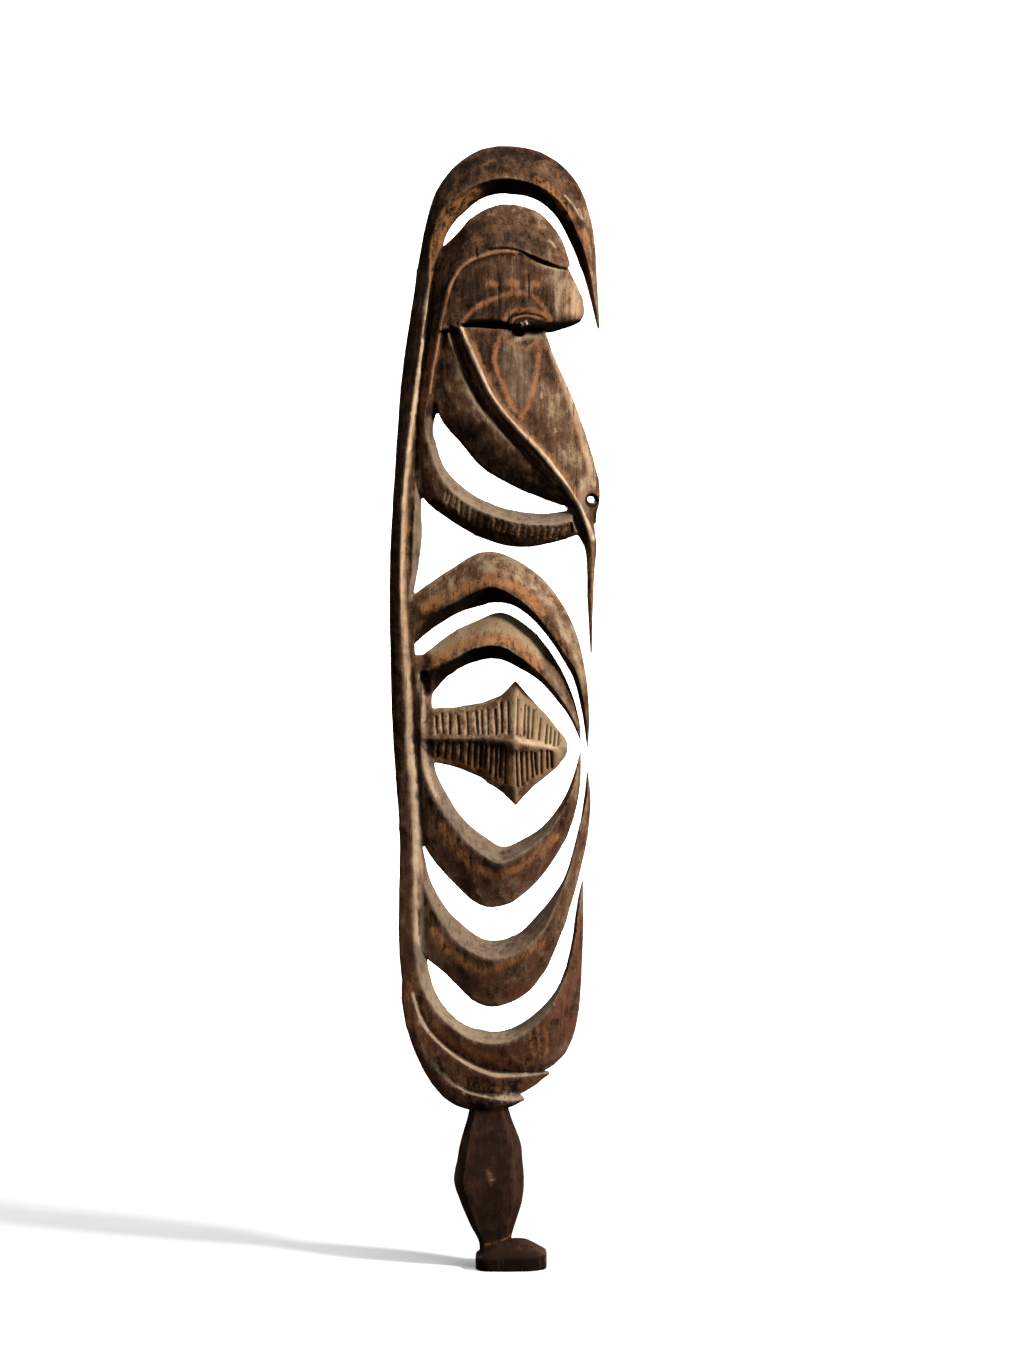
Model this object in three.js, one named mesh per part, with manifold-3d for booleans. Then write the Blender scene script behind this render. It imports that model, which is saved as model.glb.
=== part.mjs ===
// Hook figure of the Korewori River, carved from one plank and standing on its own foot.
//
// The figure lies in the X-Z plane, with its face and hook tips towards +X and its back towards -X.
// Its two sides face -Y and +Y and are mirror images. The origin is the middle of the foot's
// underside, +Z is up, and every length is in millimetres.
//
// Nearly every form on it is a long curved blade: a wedge that is thin at its outer edge, thickest
// along a ridge on each side, and thin again at its inner edge. One function makes all of them from
// stations along the blade, and the rest joins them and cuts the holes and flutes.

import * as THREE from "three";
import { mergeVertices } from "three/addons/utils/BufferGeometryUtils.js";
import Module from "manifold-3d";

const wasm = await Module();
wasm.setup();

// Driving dimensions

const FIGURE_HEIGHT = 1492;
const ROWS_PER_STATION = 2;

// A blade's broad facet bends at this share of the way from its edge's thickness to its ridge's.
const SHOULDER = 0.62;

// The head narrows to its front in plan as half an ellipse, from its start to the tip of the brow.
const HEAD_PLAN = { back: -200, roundingStart: 20, tip: 97, half: 57, curveSegments: 16 };

// Half thickness of the head's flat plates, and the chamfer round each
const BROW = { half: 50, chamfer: 4 };
const HEAD_CORE = { half: 25, chamfer: 2 };
const CHIN = { half: 12, chamfer: 1 };
const STUMP = { half: 7, chamfer: 1.5 };

const NOSE_HOLE = { centre: [105, 1022], radius: 5, sides: 16 };

// The knob's sunk middle and its outer corner are shares of its height, its crest and the floor of
// its middle are shares of its radius, and its root is how deep it is buried.
const EAR = {
  centre: [-73, 1252],
  radius: 6.5,
  height: 4,
  root: 5,
  sunk: 0.4,
  corner: 0.6,
  crest: 0.7,
  floor: 0.35,
};

const EYE = { centre: [11, 1246], length: 30, height: 15, depth: 16, around: 12, upwards: 8 };

// The flutes run between these shares of the way from the diamond's crest to its edge.
const FLUTE = { pitch: 8.5, radius: 2.6, first: -98, last: 62, start: 0.1, end: 0.8 };

// Shares of the leg's length and half width that its corners are cut back by
const LEG = { chamfer: 0.13, flat: 0.35 };

// Squareness is the power of a superellipse: 1 is round, and a lower one is squarer.
const FOOT = {
  back: -48.5,
  front: 46,
  halfWidth: 50,
  wallBack: 15,
  wallFront: 20,
  top: 34,
  crown: 0.5,
  corners: 20,
  squareness: { heel: 0.3, toe: 0.8, sides: 0.55 },
};

const WOOD = { color: 0x4a382c, roughness: 0.72, metalness: 0 };

// Solids

// Turns a closed geometry into a solid whose faces point outwards.
function solid(geometry) {
  geometry.deleteAttribute("normal");
  geometry.deleteAttribute("uv");
  const merged = mergeVertices(geometry, 1e-4);
  const vertProperties = Float32Array.from(merged.attributes.position.array);
  const triVerts = Uint32Array.from(merged.index.array);
  if (signedVolume(vertProperties, triVerts) < 0) {
    triVerts.reverse();
  }
  return new wasm.Manifold(new wasm.Mesh({ numProp: 3, vertProperties, triVerts }));
}

function signedVolume(positions, corners) {
  const a = new THREE.Vector3();
  const b = new THREE.Vector3();
  const c = new THREE.Vector3();
  let volume = 0;
  for (let i = 0; i < corners.length; i += 3) {
    a.fromArray(positions, 3 * corners[i]);
    b.fromArray(positions, 3 * corners[i + 1]);
    c.fromArray(positions, 3 * corners[i + 2]);
    volume += a.dot(b.cross(c)) / 6;
  }
  return volume;
}

// Lays the rings of a cylinder onto given sections. Each section is a list of [x, y, z] points, and
// the caps' centres go to the middle of the end sections.
function loft(sections) {
  const sides = sections[0].length;
  const rows = sections.length - 1;
  const geometry = new THREE.CylinderGeometry(1, 1, 1, sides, rows);
  const position = geometry.attributes.position;
  for (let i = 0; i < position.count; i++) {
    const x = position.getX(i);
    const z = position.getZ(i);
    const section = sections[Math.round((0.5 - position.getY(i)) * rows)];
    const turn = Math.atan2(x, z) / (2 * Math.PI) + 1;
    const onAxis = Math.hypot(x, z) < 0.5;
    const point = onAxis ? middle(section) : section[Math.round(turn * sides) % sides];
    position.setXYZ(i, ...point);
  }
  return solid(geometry);
}

function middle(section) {
  const sum = section.reduce((total, point) => total.map((value, axis) => value + point[axis]));
  return sum.map((value) => value / section.length);
}

// Reads a short list of values, spread evenly over a length, at a share of that length.
function along(values, share) {
  const place = share * (values.length - 1);
  const index = Math.min(Math.floor(place), values.length - 2);
  return THREE.MathUtils.lerp(values[index], values[index + 1], place - index);
}

// A blade runs through stations, each with its outer edge, ridge and inner edge as [x, z]. The
// half thicknesses at the three lines are short lists, spread evenly from the first station to the
// last. The shoulder is the bend in the broad outer facet, halfway from the edge to the ridge.
function blade({ stations, edge, ridge, inner, shoulder = SHOULDER, rows = ROWS_PER_STATION }) {
  const times = stations.map((_, index) => index);
  const course = new THREE.CubicInterpolant(times, stations.flat(2), 6);
  const last = (stations.length - 1) * rows;
  const sections = [];
  for (let row = 0; row <= last; row++) {
    const [edgeX, edgeZ, ridgeX, ridgeZ, innerX, innerZ] = course.evaluate(row / rows);
    const halfEdge = along(edge, row / last);
    const halfRidge = along(ridge, row / last);
    const halfShoulder = THREE.MathUtils.lerp(halfEdge, halfRidge, shoulder);
    const side = [
      [edgeX, halfEdge, edgeZ],
      [(edgeX + ridgeX) / 2, halfShoulder, (edgeZ + ridgeZ) / 2],
      [ridgeX, halfRidge, ridgeZ],
      [innerX, along(inner, row / last), innerZ],
    ];
    sections.push([...side, ...otherSide(side)]);
  }
  return loft(sections);
}

// The same points on the far side, in turning order.
function otherSide(side) {
  return side.map(([x, y, z]) => [x, -y, z]).reverse();
}

// A flat plate of a given outline in the X-Z plane, with its rim chamfered.
function plate({ half, chamfer }, outline) {
  const shape = new THREE.Shape(outline.map(([x, z]) => new THREE.Vector2(x, z)));
  const geometry = new THREE.ExtrudeGeometry(shape, {
    depth: 2 * (half - chamfer),
    bevelEnabled: true,
    bevelThickness: chamfer,
    bevelSize: chamfer,
    bevelOffset: -chamfer,
    bevelSegments: 1,
  });
  geometry.translate(0, 0, chamfer - half);
  geometry.rotateX(Math.PI / 2);
  return solid(geometry);
}

// The long back: top hook, spine and bottom hook in one run

const back = blade({
  stations: [
    [[117, 1250], [115.5, 1248], [114, 1250]],
    [[113, 1321], [104, 1322], [97, 1317]],
    [[107, 1387], [86, 1375], [77, 1367]],
    [[84, 1447], [65, 1412], [56, 1404]],
    [[44, 1481], [36, 1434], [31, 1423]],
    [[-3, FIGURE_HEIGHT], [-5, 1445], [-5, 1431]],
    [[-45, 1486], [-40, 1439], [-36, 1426]],
    [[-80, 1461], [-73, 1421], [-61, 1409]],
    [[-104, 1425], [-95, 1397], [-83, 1384]],
    [[-119, 1368], [-108, 1354], [-93, 1356]],
    [[-131, 1295], [-111, 1290], [-102, 1299]],
    [[-147, 1181], [-127, 1179], [-118, 1181]],
    [[-157, 1048], [-143, 1046], [-131, 1048]],
    [[-163, 928], [-148, 927], [-135, 928]],
    [[-162, 808], [-147, 808], [-129, 808]],
    [[-158.5, 701], [-140, 702], [-127, 701]],
    [[-150, 581], [-132, 582], [-120, 581]],
    [[-151, 468], [-129, 470], [-119, 468]],
    [[-149, 401], [-126, 402], [-113, 405]],
    [[-138, 350], [-114, 363], [-101, 363]],
    [[-108, 300], [-89, 329], [-80, 333]],
    [[-58, 268], [-50, 304], [-47, 315]],
    [[-3, 254], [-11, 301], [-12, 313]],
    [[45, 263], [23, 319], [19, 327]],
    [[76, 295], [50, 348], [48, 353]],
    [[89, 344], [69, 386], [67, 383]],
    [[94, 421], [82, 433], [79, 429]],
    [[95, 481], [90, 486], [87, 484]],
    [[95, 513], [94, 514], [93, 513]],
  ],
  edge: [3, 10, 13, 12, 10, 8, 8, 8, 8, 9, 13, 20, 14, 3],
  ridge: [6, 31, 41, 36, 28, 37, 25, 15, 16, 20, 32, 48, 36, 5],
  inner: [3, 8, 10, 9, 11, 12, 11, 11, 12, 11, 10, 10, 9, 2],
});

// Head and beard: over the dome, down the back of the head, and out along the beard hook

const headRun = blade({
  stations: [
    [[77, 1336], [73, 1327], [64, 1320]],
    [[64, 1371], [53, 1332], [44, 1320]],
    [[35, 1403], [22, 1344], [19, 1328]],
    [[-9, 1414], [-13, 1349], [-8, 1331]],
    [[-45, 1402], [-45, 1341], [-27, 1325]],
    [[-73, 1375], [-67, 1325], [-48, 1309]],
    [[-97, 1346], [-81, 1302], [-60, 1293]],
    [[-109, 1281], [-89, 1273], [-69, 1269]],
    [[-116, 1228], [-99, 1224], [-80, 1219]],
    [[-125, 1175], [-109, 1169], [-88, 1172]],
    [[-130, 1128], [-116, 1126], [-105, 1124]],
    [[-130, 1075], [-109, 1089], [-101, 1092]],
    [[-119, 1026], [-93, 1049], [-87, 1060]],
    [[-83, 995], [-68, 1022], [-64, 1037]],
    [[-40, 971], [-37, 1004], [-35, 1019]],
    [[5, 959], [1, 991], [3, 1007]],
    [[51, 964], [44, 987], [44, 1003]],
    [[87, 975], [81, 992], [79, 1008]],
  ],
  edge: [14, 15, 15, 13, 11, 10, 11, 12, 11],
  ridge: [45, 53, 52, 50, 35, 23, 27, 39, 29],
  inner: [28, 38, 40, 35, 25, 10, 9, 9, 9],
});

// Face and nose hook: the outer edge is the line of the nose, the ridge the edge of the cheek

const faceRun = blade({
  stations: [
    [[44, 1243], [-69, 1248], [-78, 1244]],
    [[57, 1209], [-53, 1213], [-63, 1207]],
    [[79, 1160], [-29, 1159], [-39, 1152]],
    [[98, 1108], [5, 1116], [-4, 1109]],
    [[112, 1061], [49, 1065], [41, 1060]],
    [[117, 1032], [78, 1032], [71, 1028]],
    [[115, 1011], [93, 1004], [80, 997]],
    [[109, 990], [100, 984], [86, 979]],
    [[113, 960], [106, 957], [97, 957]],
    [[110, 925], [106, 925], [100, 925]],
    [[108, 881], [106, 881], [101, 881]],
    [[107, 827], [106, 827], [104, 827]],
    [[106, 815], [105, 815], [105, 815]],
  ],
  edge: [25, 22, 17, 11, 8, 6, 2],
  ridge: [47, 46, 41, 24, 14, 9, 3],
  inner: [30, 28, 24, 14, 9, 6, 2],
  shoulder: 0.7,
});

const jaw = blade({
  stations: [
    [[-91, 1266], [-88, 1264], [-84, 1265]],
    [[-95, 1237], [-83, 1233], [-79, 1241]],
    [[-108, 1179], [-69, 1190], [-64, 1200]],
    [[-95, 1131], [-50, 1149], [-45, 1159]],
    [[-71, 1101], [-29, 1123], [-24, 1132]],
    [[-39, 1065], [-1, 1094], [3, 1101]],
    [[9, 1037], [34, 1062], [40, 1068]],
    [[67, 1014], [73, 1022], [77, 1025]],
  ],
  edge: [40, 27, 22, 18, 14],
  ridge: [45, 40, 38, 34, 22],
  inner: [30, 29, 27, 22, 14],
});

// Small leaf behind the throat: its whole broad face is the inner bevel

const smallLeaf = blade({
  stations: [
    [[-132, 1060], [-128, 1058], [-122, 1057]],
    [[-134, 1015], [-129, 1013], [-121, 1015]],
    [[-136, 975], [-131, 974], [-120, 975]],
    [[-138, 935], [-132, 934], [-124, 937]],
    [[-139, 890], [-137, 890], [-133, 890]],
  ],
  edge: [5, 9, 7],
  ridge: [10, 17, 11],
  inner: [5, 7, 6],
});

const upperHook = blade({
  stations: [
    [[-145, 885], [-140, 840], [-142, 819]],
    [[-109, 911], [-105, 869], [-104, 852]],
    [[-77, 932], [-75, 885], [-75, 870]],
    [[-48, 949], [-45, 900], [-48, 879]],
    [[-19, 951], [-23, 904], [-24, 885]],
    [[15, 936], [7, 889], [1, 881]],
    [[44, 913], [32, 867], [27, 863]],
    [[68, 881], [54, 838], [51, 835]],
    [[87, 840], [73, 810], [69, 807]],
    [[99, 784], [87, 787], [83, 780]],
    [[103, 728], [97, 740], [93, 740]],
    [[101, 691], [101, 691], [100, 692]],
  ],
  edge: [10, 12, 12, 12, 10, 7, 3],
  ridge: [12, 23, 37, 43, 39, 27, 4],
  inner: [8, 10, 9, 8, 8, 6, 2],
});

// Inner run: second upper hook, the strip that carries the diamond, and first lower hook

const innerRun = blade({
  stations: [
    [[92, 700], [91, 700], [91, 701]],
    [[89, 731], [81, 729], [77, 731]],
    [[75, 776], [64, 757], [60, 755]],
    [[53, 816], [42, 784], [37, 780]],
    [[25, 849], [15, 808], [9, 798]],
    [[-12, 871], [-17, 826], [-21, 810]],
    [[-47, 860], [-52, 822], [-53, 805]],
    [[-83, 842], [-85, 805], [-80, 791]],
    [[-115, 817], [-113, 793], [-98, 773]],
    [[-133, 806], [-124, 779], [-107, 759]],
    [[-133, 728], [-121, 728], [-105, 728]],
    [[-131, 668], [-119, 669], [-105, 675]],
    [[-128, 608], [-107, 635], [-99, 652]],
    [[-117, 561], [-87, 600], [-77, 612]],
    [[-83, 517], [-61, 568], [-56, 587]],
    [[-45, 483], [-36, 548], [-35, 571]],
    [[-12, 481], [-13, 539], [-12, 559]],
    [[21, 501], [15, 554], [11, 567]],
    [[49, 533], [44, 576], [37, 583]],
    [[69, 566], [62, 601], [59, 607]],
    [[84, 606], [77, 629], [73, 631]],
    [[91, 644], [86, 659], [84, 660]],
    [[92, 687], [91, 687], [91, 686]],
  ],
  edge: [3, 9, 11, 12, 8, 9, 12, 9, 3],
  ridge: [4, 37, 41, 18, 17, 25, 45, 39, 4],
  inner: [2, 8, 8, 10, 12, 9, 8, 7, 2],
});

const lowerHook = blade({
  stations: [
    [[-128, 556], [-121, 553], [-119, 557]],
    [[-127, 488], [-116, 507], [-109, 515]],
    [[-119, 424], [-94, 462], [-88, 477]],
    [[-86, 388], [-70, 432], [-65, 454]],
    [[-45, 351], [-40, 415], [-39, 436]],
    [[-11, 349], [-12, 413], [-12, 435]],
    [[24, 369], [15, 425], [11, 445]],
    [[51, 409], [40, 449], [33, 467]],
    [[72, 463], [61, 492], [56, 495]],
    [[88, 515], [76, 532], [73, 525]],
    [[101, 577], [90, 587], [88, 576]],
    [[105, 621], [100, 628], [96, 624]],
    [[101, 661], [101, 661], [100, 660]],
  ],
  edge: [10, 14, 14, 12, 11, 8, 3],
  ridge: [12, 23, 37, 45, 40, 27, 4],
  inner: [8, 10, 9, 8, 8, 6, 2],
});

// Two leaf blades lie under the bottom hook, with their tips free at the front

const leaf = blade({
  stations: [
    [[-145, 397], [-142, 396], [-140, 397]],
    [[-147, 357], [-133, 364], [-131, 365]],
    [[-137, 309], [-119, 324], [-116, 325]],
    [[-114, 270], [-94, 297], [-92, 297]],
    [[-78, 231], [-64, 274], [-61, 275]],
    [[-33, 219], [-28, 258], [-27, 261]],
    [[11, 231], [9, 256], [9, 259]],
    [[51, 257], [49, 259], [48, 259]],
  ],
  edge: [9, 15, 23, 25, 9],
  ridge: [11, 22, 34, 39, 14],
  inner: [9, 18, 28, 32, 11],
});

const lowestLeaf = blade({
  stations: [
    [[-144, 336], [-139, 332], [-137, 333]],
    [[-133, 295], [-122, 296], [-119, 297]],
    [[-107, 245], [-94, 257], [-92, 259]],
    [[-76, 217], [-62, 236], [-61, 238]],
    [[-36, 208], [-30, 228], [-29, 231]],
    [[-5, 213], [-4, 224], [-3, 232]],
    [[17, 222], [15, 224], [9, 231]],
  ],
  edge: [9, 15, 22, 24, 10],
  ridge: [12, 23, 32, 36, 16],
  inner: [10, 19, 26, 28, 12],
});

// Diamond: flat facets, highest where its two ridges cross

const DIAMOND = {
  stations: [
    [[-121, 743], [-121, 704], [-121, 675]],
    [[-76, 745], [-76, 704], [-76, 666]],
    [[-40, 751], [-40, 704], [-40, 651]],
    [[-15, 761], [-15, 702], [-15, 633]],
    [[5, 779], [5, 699], [5, 615]],
    [[28, 754], [28, 694], [28, 639]],
    [[59, 718], [59, 690], [59, 664]],
    [[71, 704], [71, 692], [71, 679]],
    [[74, 697], [74, 692], [74, 687]],
  ],
  edge: [10, 10, 10, 10, 10, 10, 10, 9, 8],
  ridge: [20, 31, 37, 41, 45, 37, 25, 19, 14],
  inner: [10, 10, 10, 10, 10, 10, 10, 9, 8],
  shoulder: 0.5,
  rows: 1,
};

// The flute at x: a thin square bar laid along one facet, from the ridge towards a border at the
// edge. Side is 1 or -1 for the two sides of the figure.
function flute(x, rim, side) {
  const { stations, ridge } = DIAMOND;
  const next = Math.max(1, stations.findIndex(([[stationX]]) => stationX > x));
  const share = (x - stations[next - 1][0][0]) / (stations[next][0][0] - stations[next - 1][0][0]);
  const mix = (low, high) => THREE.MathUtils.lerp(low, high, share);
  const rimIndex = rim === "edge" ? 0 : 2;
  const rimZ = mix(stations[next - 1][rimIndex][1], stations[next][rimIndex][1]);
  const rimHalf = mix(DIAMOND[rim][next - 1], DIAMOND[rim][next]);
  const ridgeZ = mix(stations[next - 1][1][1], stations[next][1][1]);
  const ridgeHalf = mix(ridge[next - 1], ridge[next]);
  const crest = new THREE.Vector3(x, side * ridgeHalf, ridgeZ);
  const rimPoint = new THREE.Vector3(x, side * rimHalf, rimZ);
  const start = crest.clone().lerp(rimPoint, FLUTE.start);
  const end = crest.clone().lerp(rimPoint, FLUTE.end);
  const run = end.clone().sub(start);
  const bar = new THREE.CylinderGeometry(FLUTE.radius, FLUTE.radius, run.length(), 4);
  const turn = new THREE.Quaternion().setFromUnitVectors(new THREE.Vector3(0, 1, 0), run.normalize());
  bar.applyQuaternion(turn);
  bar.translate(...start.add(end).multiplyScalar(0.5));
  return solid(bar);
}

function flutes() {
  const bars = [];
  for (let x = FLUTE.first; x <= FLUTE.last; x += FLUTE.pitch) {
    for (const side of [1, -1]) {
      bars.push(flute(x, "edge", side));
      bars.push(flute(x, "inner", side));
    }
  }
  return bars;
}

const diamond = flutes().reduce((left, bar) => left.subtract(bar), blade(DIAMOND));

// Brow: the side of the forehead, a little lower than the cap's edge around it

const brow = plate(
  BROW,
  [
    [75, 1324], [84, 1309], [94, 1288], [HEAD_PLAN.tip, 1270], [91, 1260], [77, 1255], [58, 1251],
    [38, 1248], [20, 1248], [4, 1249], [-9, 1253], [-29, 1255], [-49, 1254], [-65, 1252], [-76, 1245],
    [-96, 1242], [-87, 1288], [-78, 1309], [-65, 1325], [-46, 1340], [-35, 1345], [-18, 1348],
    [-2, 1347], [11, 1344], [24, 1338], [37, 1332], [50, 1328],
  ],
);

// Plan of the head: straight sides at the back, half an ellipse at the front
function headPlan() {
  const { back: planBack, roundingStart, tip, half, curveSegments } = HEAD_PLAN;
  const quarterTurn = Math.PI / 2;
  const plan = new THREE.Shape();
  plan.moveTo(planBack, half);
  plan.lineTo(planBack, -half);
  plan.absellipse(roundingStart, 0, tip - roundingStart, half, -quarterTurn, quarterTurn, false);
  const geometry = new THREE.ExtrudeGeometry(plan, {
    depth: FIGURE_HEIGHT,
    bevelEnabled: false,
    curveSegments,
  });
  return solid(geometry);
}

const head = headRun.add(brow).intersect(headPlan());

// Core of the head, which the grooves between face, brow and jaw are cut down to

const headCore = plate(
  HEAD_CORE,
  [
    [70, 1315], [78, 1275], [72, 1257], [46, 1248], [40, 1232], [43, 1160], [60, 1108],
    [60, 1038], [34, 1056], [-1, 1088], [-29, 1117], [-50, 1143], [-69, 1185], [-85, 1235],
    [-92, 1290], [-60, 1325], [0, 1340],
  ],
);

// Where jaw, beard and nose meet, and the stump of a broken loop under the nose hole

const chin = plate(
  CHIN,
  [[66, 1018], [84, 1028], [96, 996], [95, 978], [87, 978], [80, 984], [74, 994], [74, 1010]],
);
const stump = plate(STUMP, [[102, 1008], [113, 1003], [112, 991], [104, 988]]);

// Leg: eight-sided, widest at the knee

function legSection(z, backX, frontX, half) {
  const chamferX = LEG.chamfer * (frontX - backX);
  const flatHalf = LEG.flat * half;
  const side = [
    [frontX, flatHalf, z],
    [frontX - chamferX, half, z],
    [backX + chamferX, half, z],
    [backX, flatHalf, z],
  ];
  return [...side, ...otherSide(side)];
}

const leg = loft([
  legSection(222, -54, -8, 20),
  legSection(195, -60, 0, 28),
  legSection(165, -69, 11, 32),
  legSection(141, -73, 14, 35),
  legSection(115, -77, 16, 37),
  legSection(88, -69, 13, 35),
  legSection(57, -56, 4, 30),
  legSection(36, -45, -1, 26),
  legSection(20, -43, 4, 26),
]);

// Foot: a low wedge, square at the heel and round at the toe

function footSection(scale, height) {
  const middleX = (FOOT.back + FOOT.front) / 2;
  const halfLength = (FOOT.front - FOOT.back) / 2;
  const { heel, toe, sides } = FOOT.squareness;
  return Array.from({ length: FOOT.corners }, (_, index) => {
    const turn = (2 * Math.PI * index) / FOOT.corners;
    const forward = Math.cos(turn);
    const x = middleX + scale * halfLength * squared(forward, forward > 0 ? toe : heel);
    const y = scale * FOOT.halfWidth * squared(Math.sin(turn), sides);
    return [x, y, height(x)];
  });
}

function squared(share, power) {
  return Math.sign(share) * Math.abs(share) ** power;
}

const wallTop = (x) =>
  THREE.MathUtils.mapLinear(x, FOOT.back, FOOT.front, FOOT.wallBack, FOOT.wallFront);

const foot = loft([
  footSection(1, () => 0),
  footSection(1, wallTop),
  footSection(FOOT.crown, () => FOOT.top),
]);

// Ear knobs, eyes and the nose hole

// The knob is a ring round a sunk middle, with its root buried in the brow.
function earKnob(side) {
  const { centre, radius, height, root, sunk, corner, crest, floor } = EAR;
  const profile = [
    new THREE.Vector2(0, -root),
    new THREE.Vector2(radius, -root),
    new THREE.Vector2(radius, corner * height),
    new THREE.Vector2(crest * radius, height),
    new THREE.Vector2(floor * radius, sunk * height),
    new THREE.Vector2(0, sunk * height),
  ];
  const knob = new THREE.LatheGeometry(profile);
  knob.translate(0, BROW.half, 0);
  knob.rotateX(side > 0 ? 0 : Math.PI);
  knob.translate(centre[0], 0, centre[1]);
  return solid(knob);
}

function eyeSocket(side) {
  const { centre, length, height, depth, around, upwards } = EYE;
  const ball = new THREE.SphereGeometry(0.5, around, upwards);
  ball.scale(length, depth, height);
  ball.translate(centre[0], side * BROW.half, centre[1]);
  return solid(ball);
}

function noseHole() {
  const { centre, radius, sides } = NOSE_HOLE;
  const drill = new THREE.CylinderGeometry(radius, radius, 2 * HEAD_PLAN.half, sides);
  drill.translate(centre[0], 0, centre[1]);
  return solid(drill);
}

const carved = [
  back, head, headCore, faceRun, jaw, chin, stump, smallLeaf, upperHook, innerRun, diamond,
  lowerHook, leaf, lowestLeaf, leg, foot, earKnob(1), earKnob(-1),
].reduce((joined, next) => joined.add(next));

const finished = [noseHole(), eyeSocket(1), eyeSocket(-1)]
  .reduce((left, cut) => left.subtract(cut), carved);

// Scene

function toGeometry(manifold) {
  const mesh = manifold.getMesh();
  const geometry = new THREE.BufferGeometry();
  geometry.setAttribute("position", new THREE.BufferAttribute(mesh.vertProperties, 3));
  geometry.setIndex(new THREE.BufferAttribute(mesh.triVerts, 1));
  return geometry;
}

const figure = new THREE.Mesh(toGeometry(finished), new THREE.MeshStandardMaterial(WOOD));
figure.name = "figure";

const group = new THREE.Group();
group.add(figure);

export default group;
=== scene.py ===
# %% [markdown]
# The hook figure
#
# This lesson carves one wooden figure in Blender: a tall, flat spirit figure of the Korewori River,
# standing in profile on its own low foot. A long back bends over a beaked head at the top. Below it,
# curved hooks face each other round a fluted diamond, and two leaves lie under the lowest hook.
#
# The whole figure was cut from one plank, so it is one piece here too. We first rough out every
# limb as a smooth blade, then melt the limbs into one block of wood, and only then do what a carver
# does last: cut the facets, flutes, strokes and cracks, wear the ridges and rub in the colours.

import bmesh
import bpy
import numpy as np
from mathutils import Matrix, Vector, kdtree


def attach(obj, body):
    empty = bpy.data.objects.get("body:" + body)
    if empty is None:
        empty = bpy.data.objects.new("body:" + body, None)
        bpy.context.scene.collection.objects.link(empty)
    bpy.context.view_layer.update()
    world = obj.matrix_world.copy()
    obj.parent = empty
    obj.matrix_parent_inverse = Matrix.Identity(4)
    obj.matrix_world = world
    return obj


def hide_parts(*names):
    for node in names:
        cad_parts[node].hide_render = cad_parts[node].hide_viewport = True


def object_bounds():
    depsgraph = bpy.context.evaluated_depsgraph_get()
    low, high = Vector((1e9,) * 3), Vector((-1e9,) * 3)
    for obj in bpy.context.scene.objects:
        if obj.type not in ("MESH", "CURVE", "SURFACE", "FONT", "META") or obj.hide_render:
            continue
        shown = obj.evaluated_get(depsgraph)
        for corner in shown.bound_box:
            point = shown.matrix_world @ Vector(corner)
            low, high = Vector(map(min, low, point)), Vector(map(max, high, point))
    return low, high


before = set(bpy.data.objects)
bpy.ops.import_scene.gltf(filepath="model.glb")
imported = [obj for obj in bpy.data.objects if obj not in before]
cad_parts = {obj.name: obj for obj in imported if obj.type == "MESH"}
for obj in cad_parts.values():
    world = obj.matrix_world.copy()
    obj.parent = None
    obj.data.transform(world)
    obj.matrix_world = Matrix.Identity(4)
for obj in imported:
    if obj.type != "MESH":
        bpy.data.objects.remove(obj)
cad_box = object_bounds()
print("box of the solid, mm:", [[round(1000 * value) for value in corner] for corner in cad_box])

# %% [markdown]
# From the photograph to metres
#
# One pixel spans 4/3 mm in the figure's middle plane, and the middle of the foot's underside is the
# origin. A surface that stands out of that plane is nearer to the camera and looks a little larger,
# so a mark that is read off the photograph has to shrink by its depth before it is laid on the wood.

# %% Photograph to figure
PIXEL = 0.004 / 3
PHOTO_SIZE = (1024, 1365)
PHOTO_CENTRE = (PHOTO_SIZE[0] / 2, PHOTO_SIZE[1] / 2)
FOOT_ROW = 1266
CAMERA_DISTANCE = 5.0
CAMERA_HEIGHT = (FOOT_ROW - PHOTO_CENTRE[1]) * PIXEL
MM = 0.001


def seen(line, depth):
    """Pixels of the photograph as (x, z) in metres, on wood that stands depth mm out of the middle."""
    across, down = (np.array(line, float) - PHOTO_CENTRE).T * PIXEL * (1 - depth * MM / CAMERA_DISTANCE)
    return np.column_stack([across, CAMERA_HEIGHT - down])


print("camera height, m:", round(CAMERA_HEIGHT, 3))

# %% [markdown]
# Camera
#
# The figure was photographed from far away, square on, from half its height. A long lens at five
# metres has the same calm perspective: the long side of a 36 mm film spans the photograph's height.

# %% Camera
FILM = 36.0


def place(thing, name, location, target):
    """Links a camera or light and turns it to look at its target."""
    holder = bpy.data.objects.new(name, thing)
    bpy.context.scene.collection.objects.link(holder)
    holder.location = location
    holder.rotation_euler = (Vector(target) - Vector(location)).to_track_quat("-Z", "Y").to_euler()
    return holder


lens = bpy.data.cameras.new("camera")
lens.sensor_width = FILM
lens.lens = FILM * CAMERA_DISTANCE / (PHOTO_SIZE[1] * PIXEL)
eye_point = (0, -CAMERA_DISTANCE, CAMERA_HEIGHT)
bpy.context.scene.camera = place(lens, "camera", eye_point, (0, 0, CAMERA_HEIGHT))
print("lens, mm:", round(lens.lens, 1))

# %% [markdown]
# Stage and light
#
# The photograph has a white sweep of paper with no horizon. A round bowl does the same from every
# side: a flat floor that curves up into a wall. We draw half of its profile and spin it.
#
# The shadow on the floor runs to the left and away from us, so the main light stands to the front
# right, about a quarter of the way up. The tops of the limbs are lit as well and their undersides
# are almost black, which takes a second, soft light straight above and a room that is dark below.
# White paper all round would throw its light back into every shadow, so it is hidden from the
# figure's diffuse and glossy rays: it is seen, and it catches the shadow, but it lights nothing. A
# third light stands behind the figure and shines away from it, and with a faint glow of the paper's
# own it keeps the background white.

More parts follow.
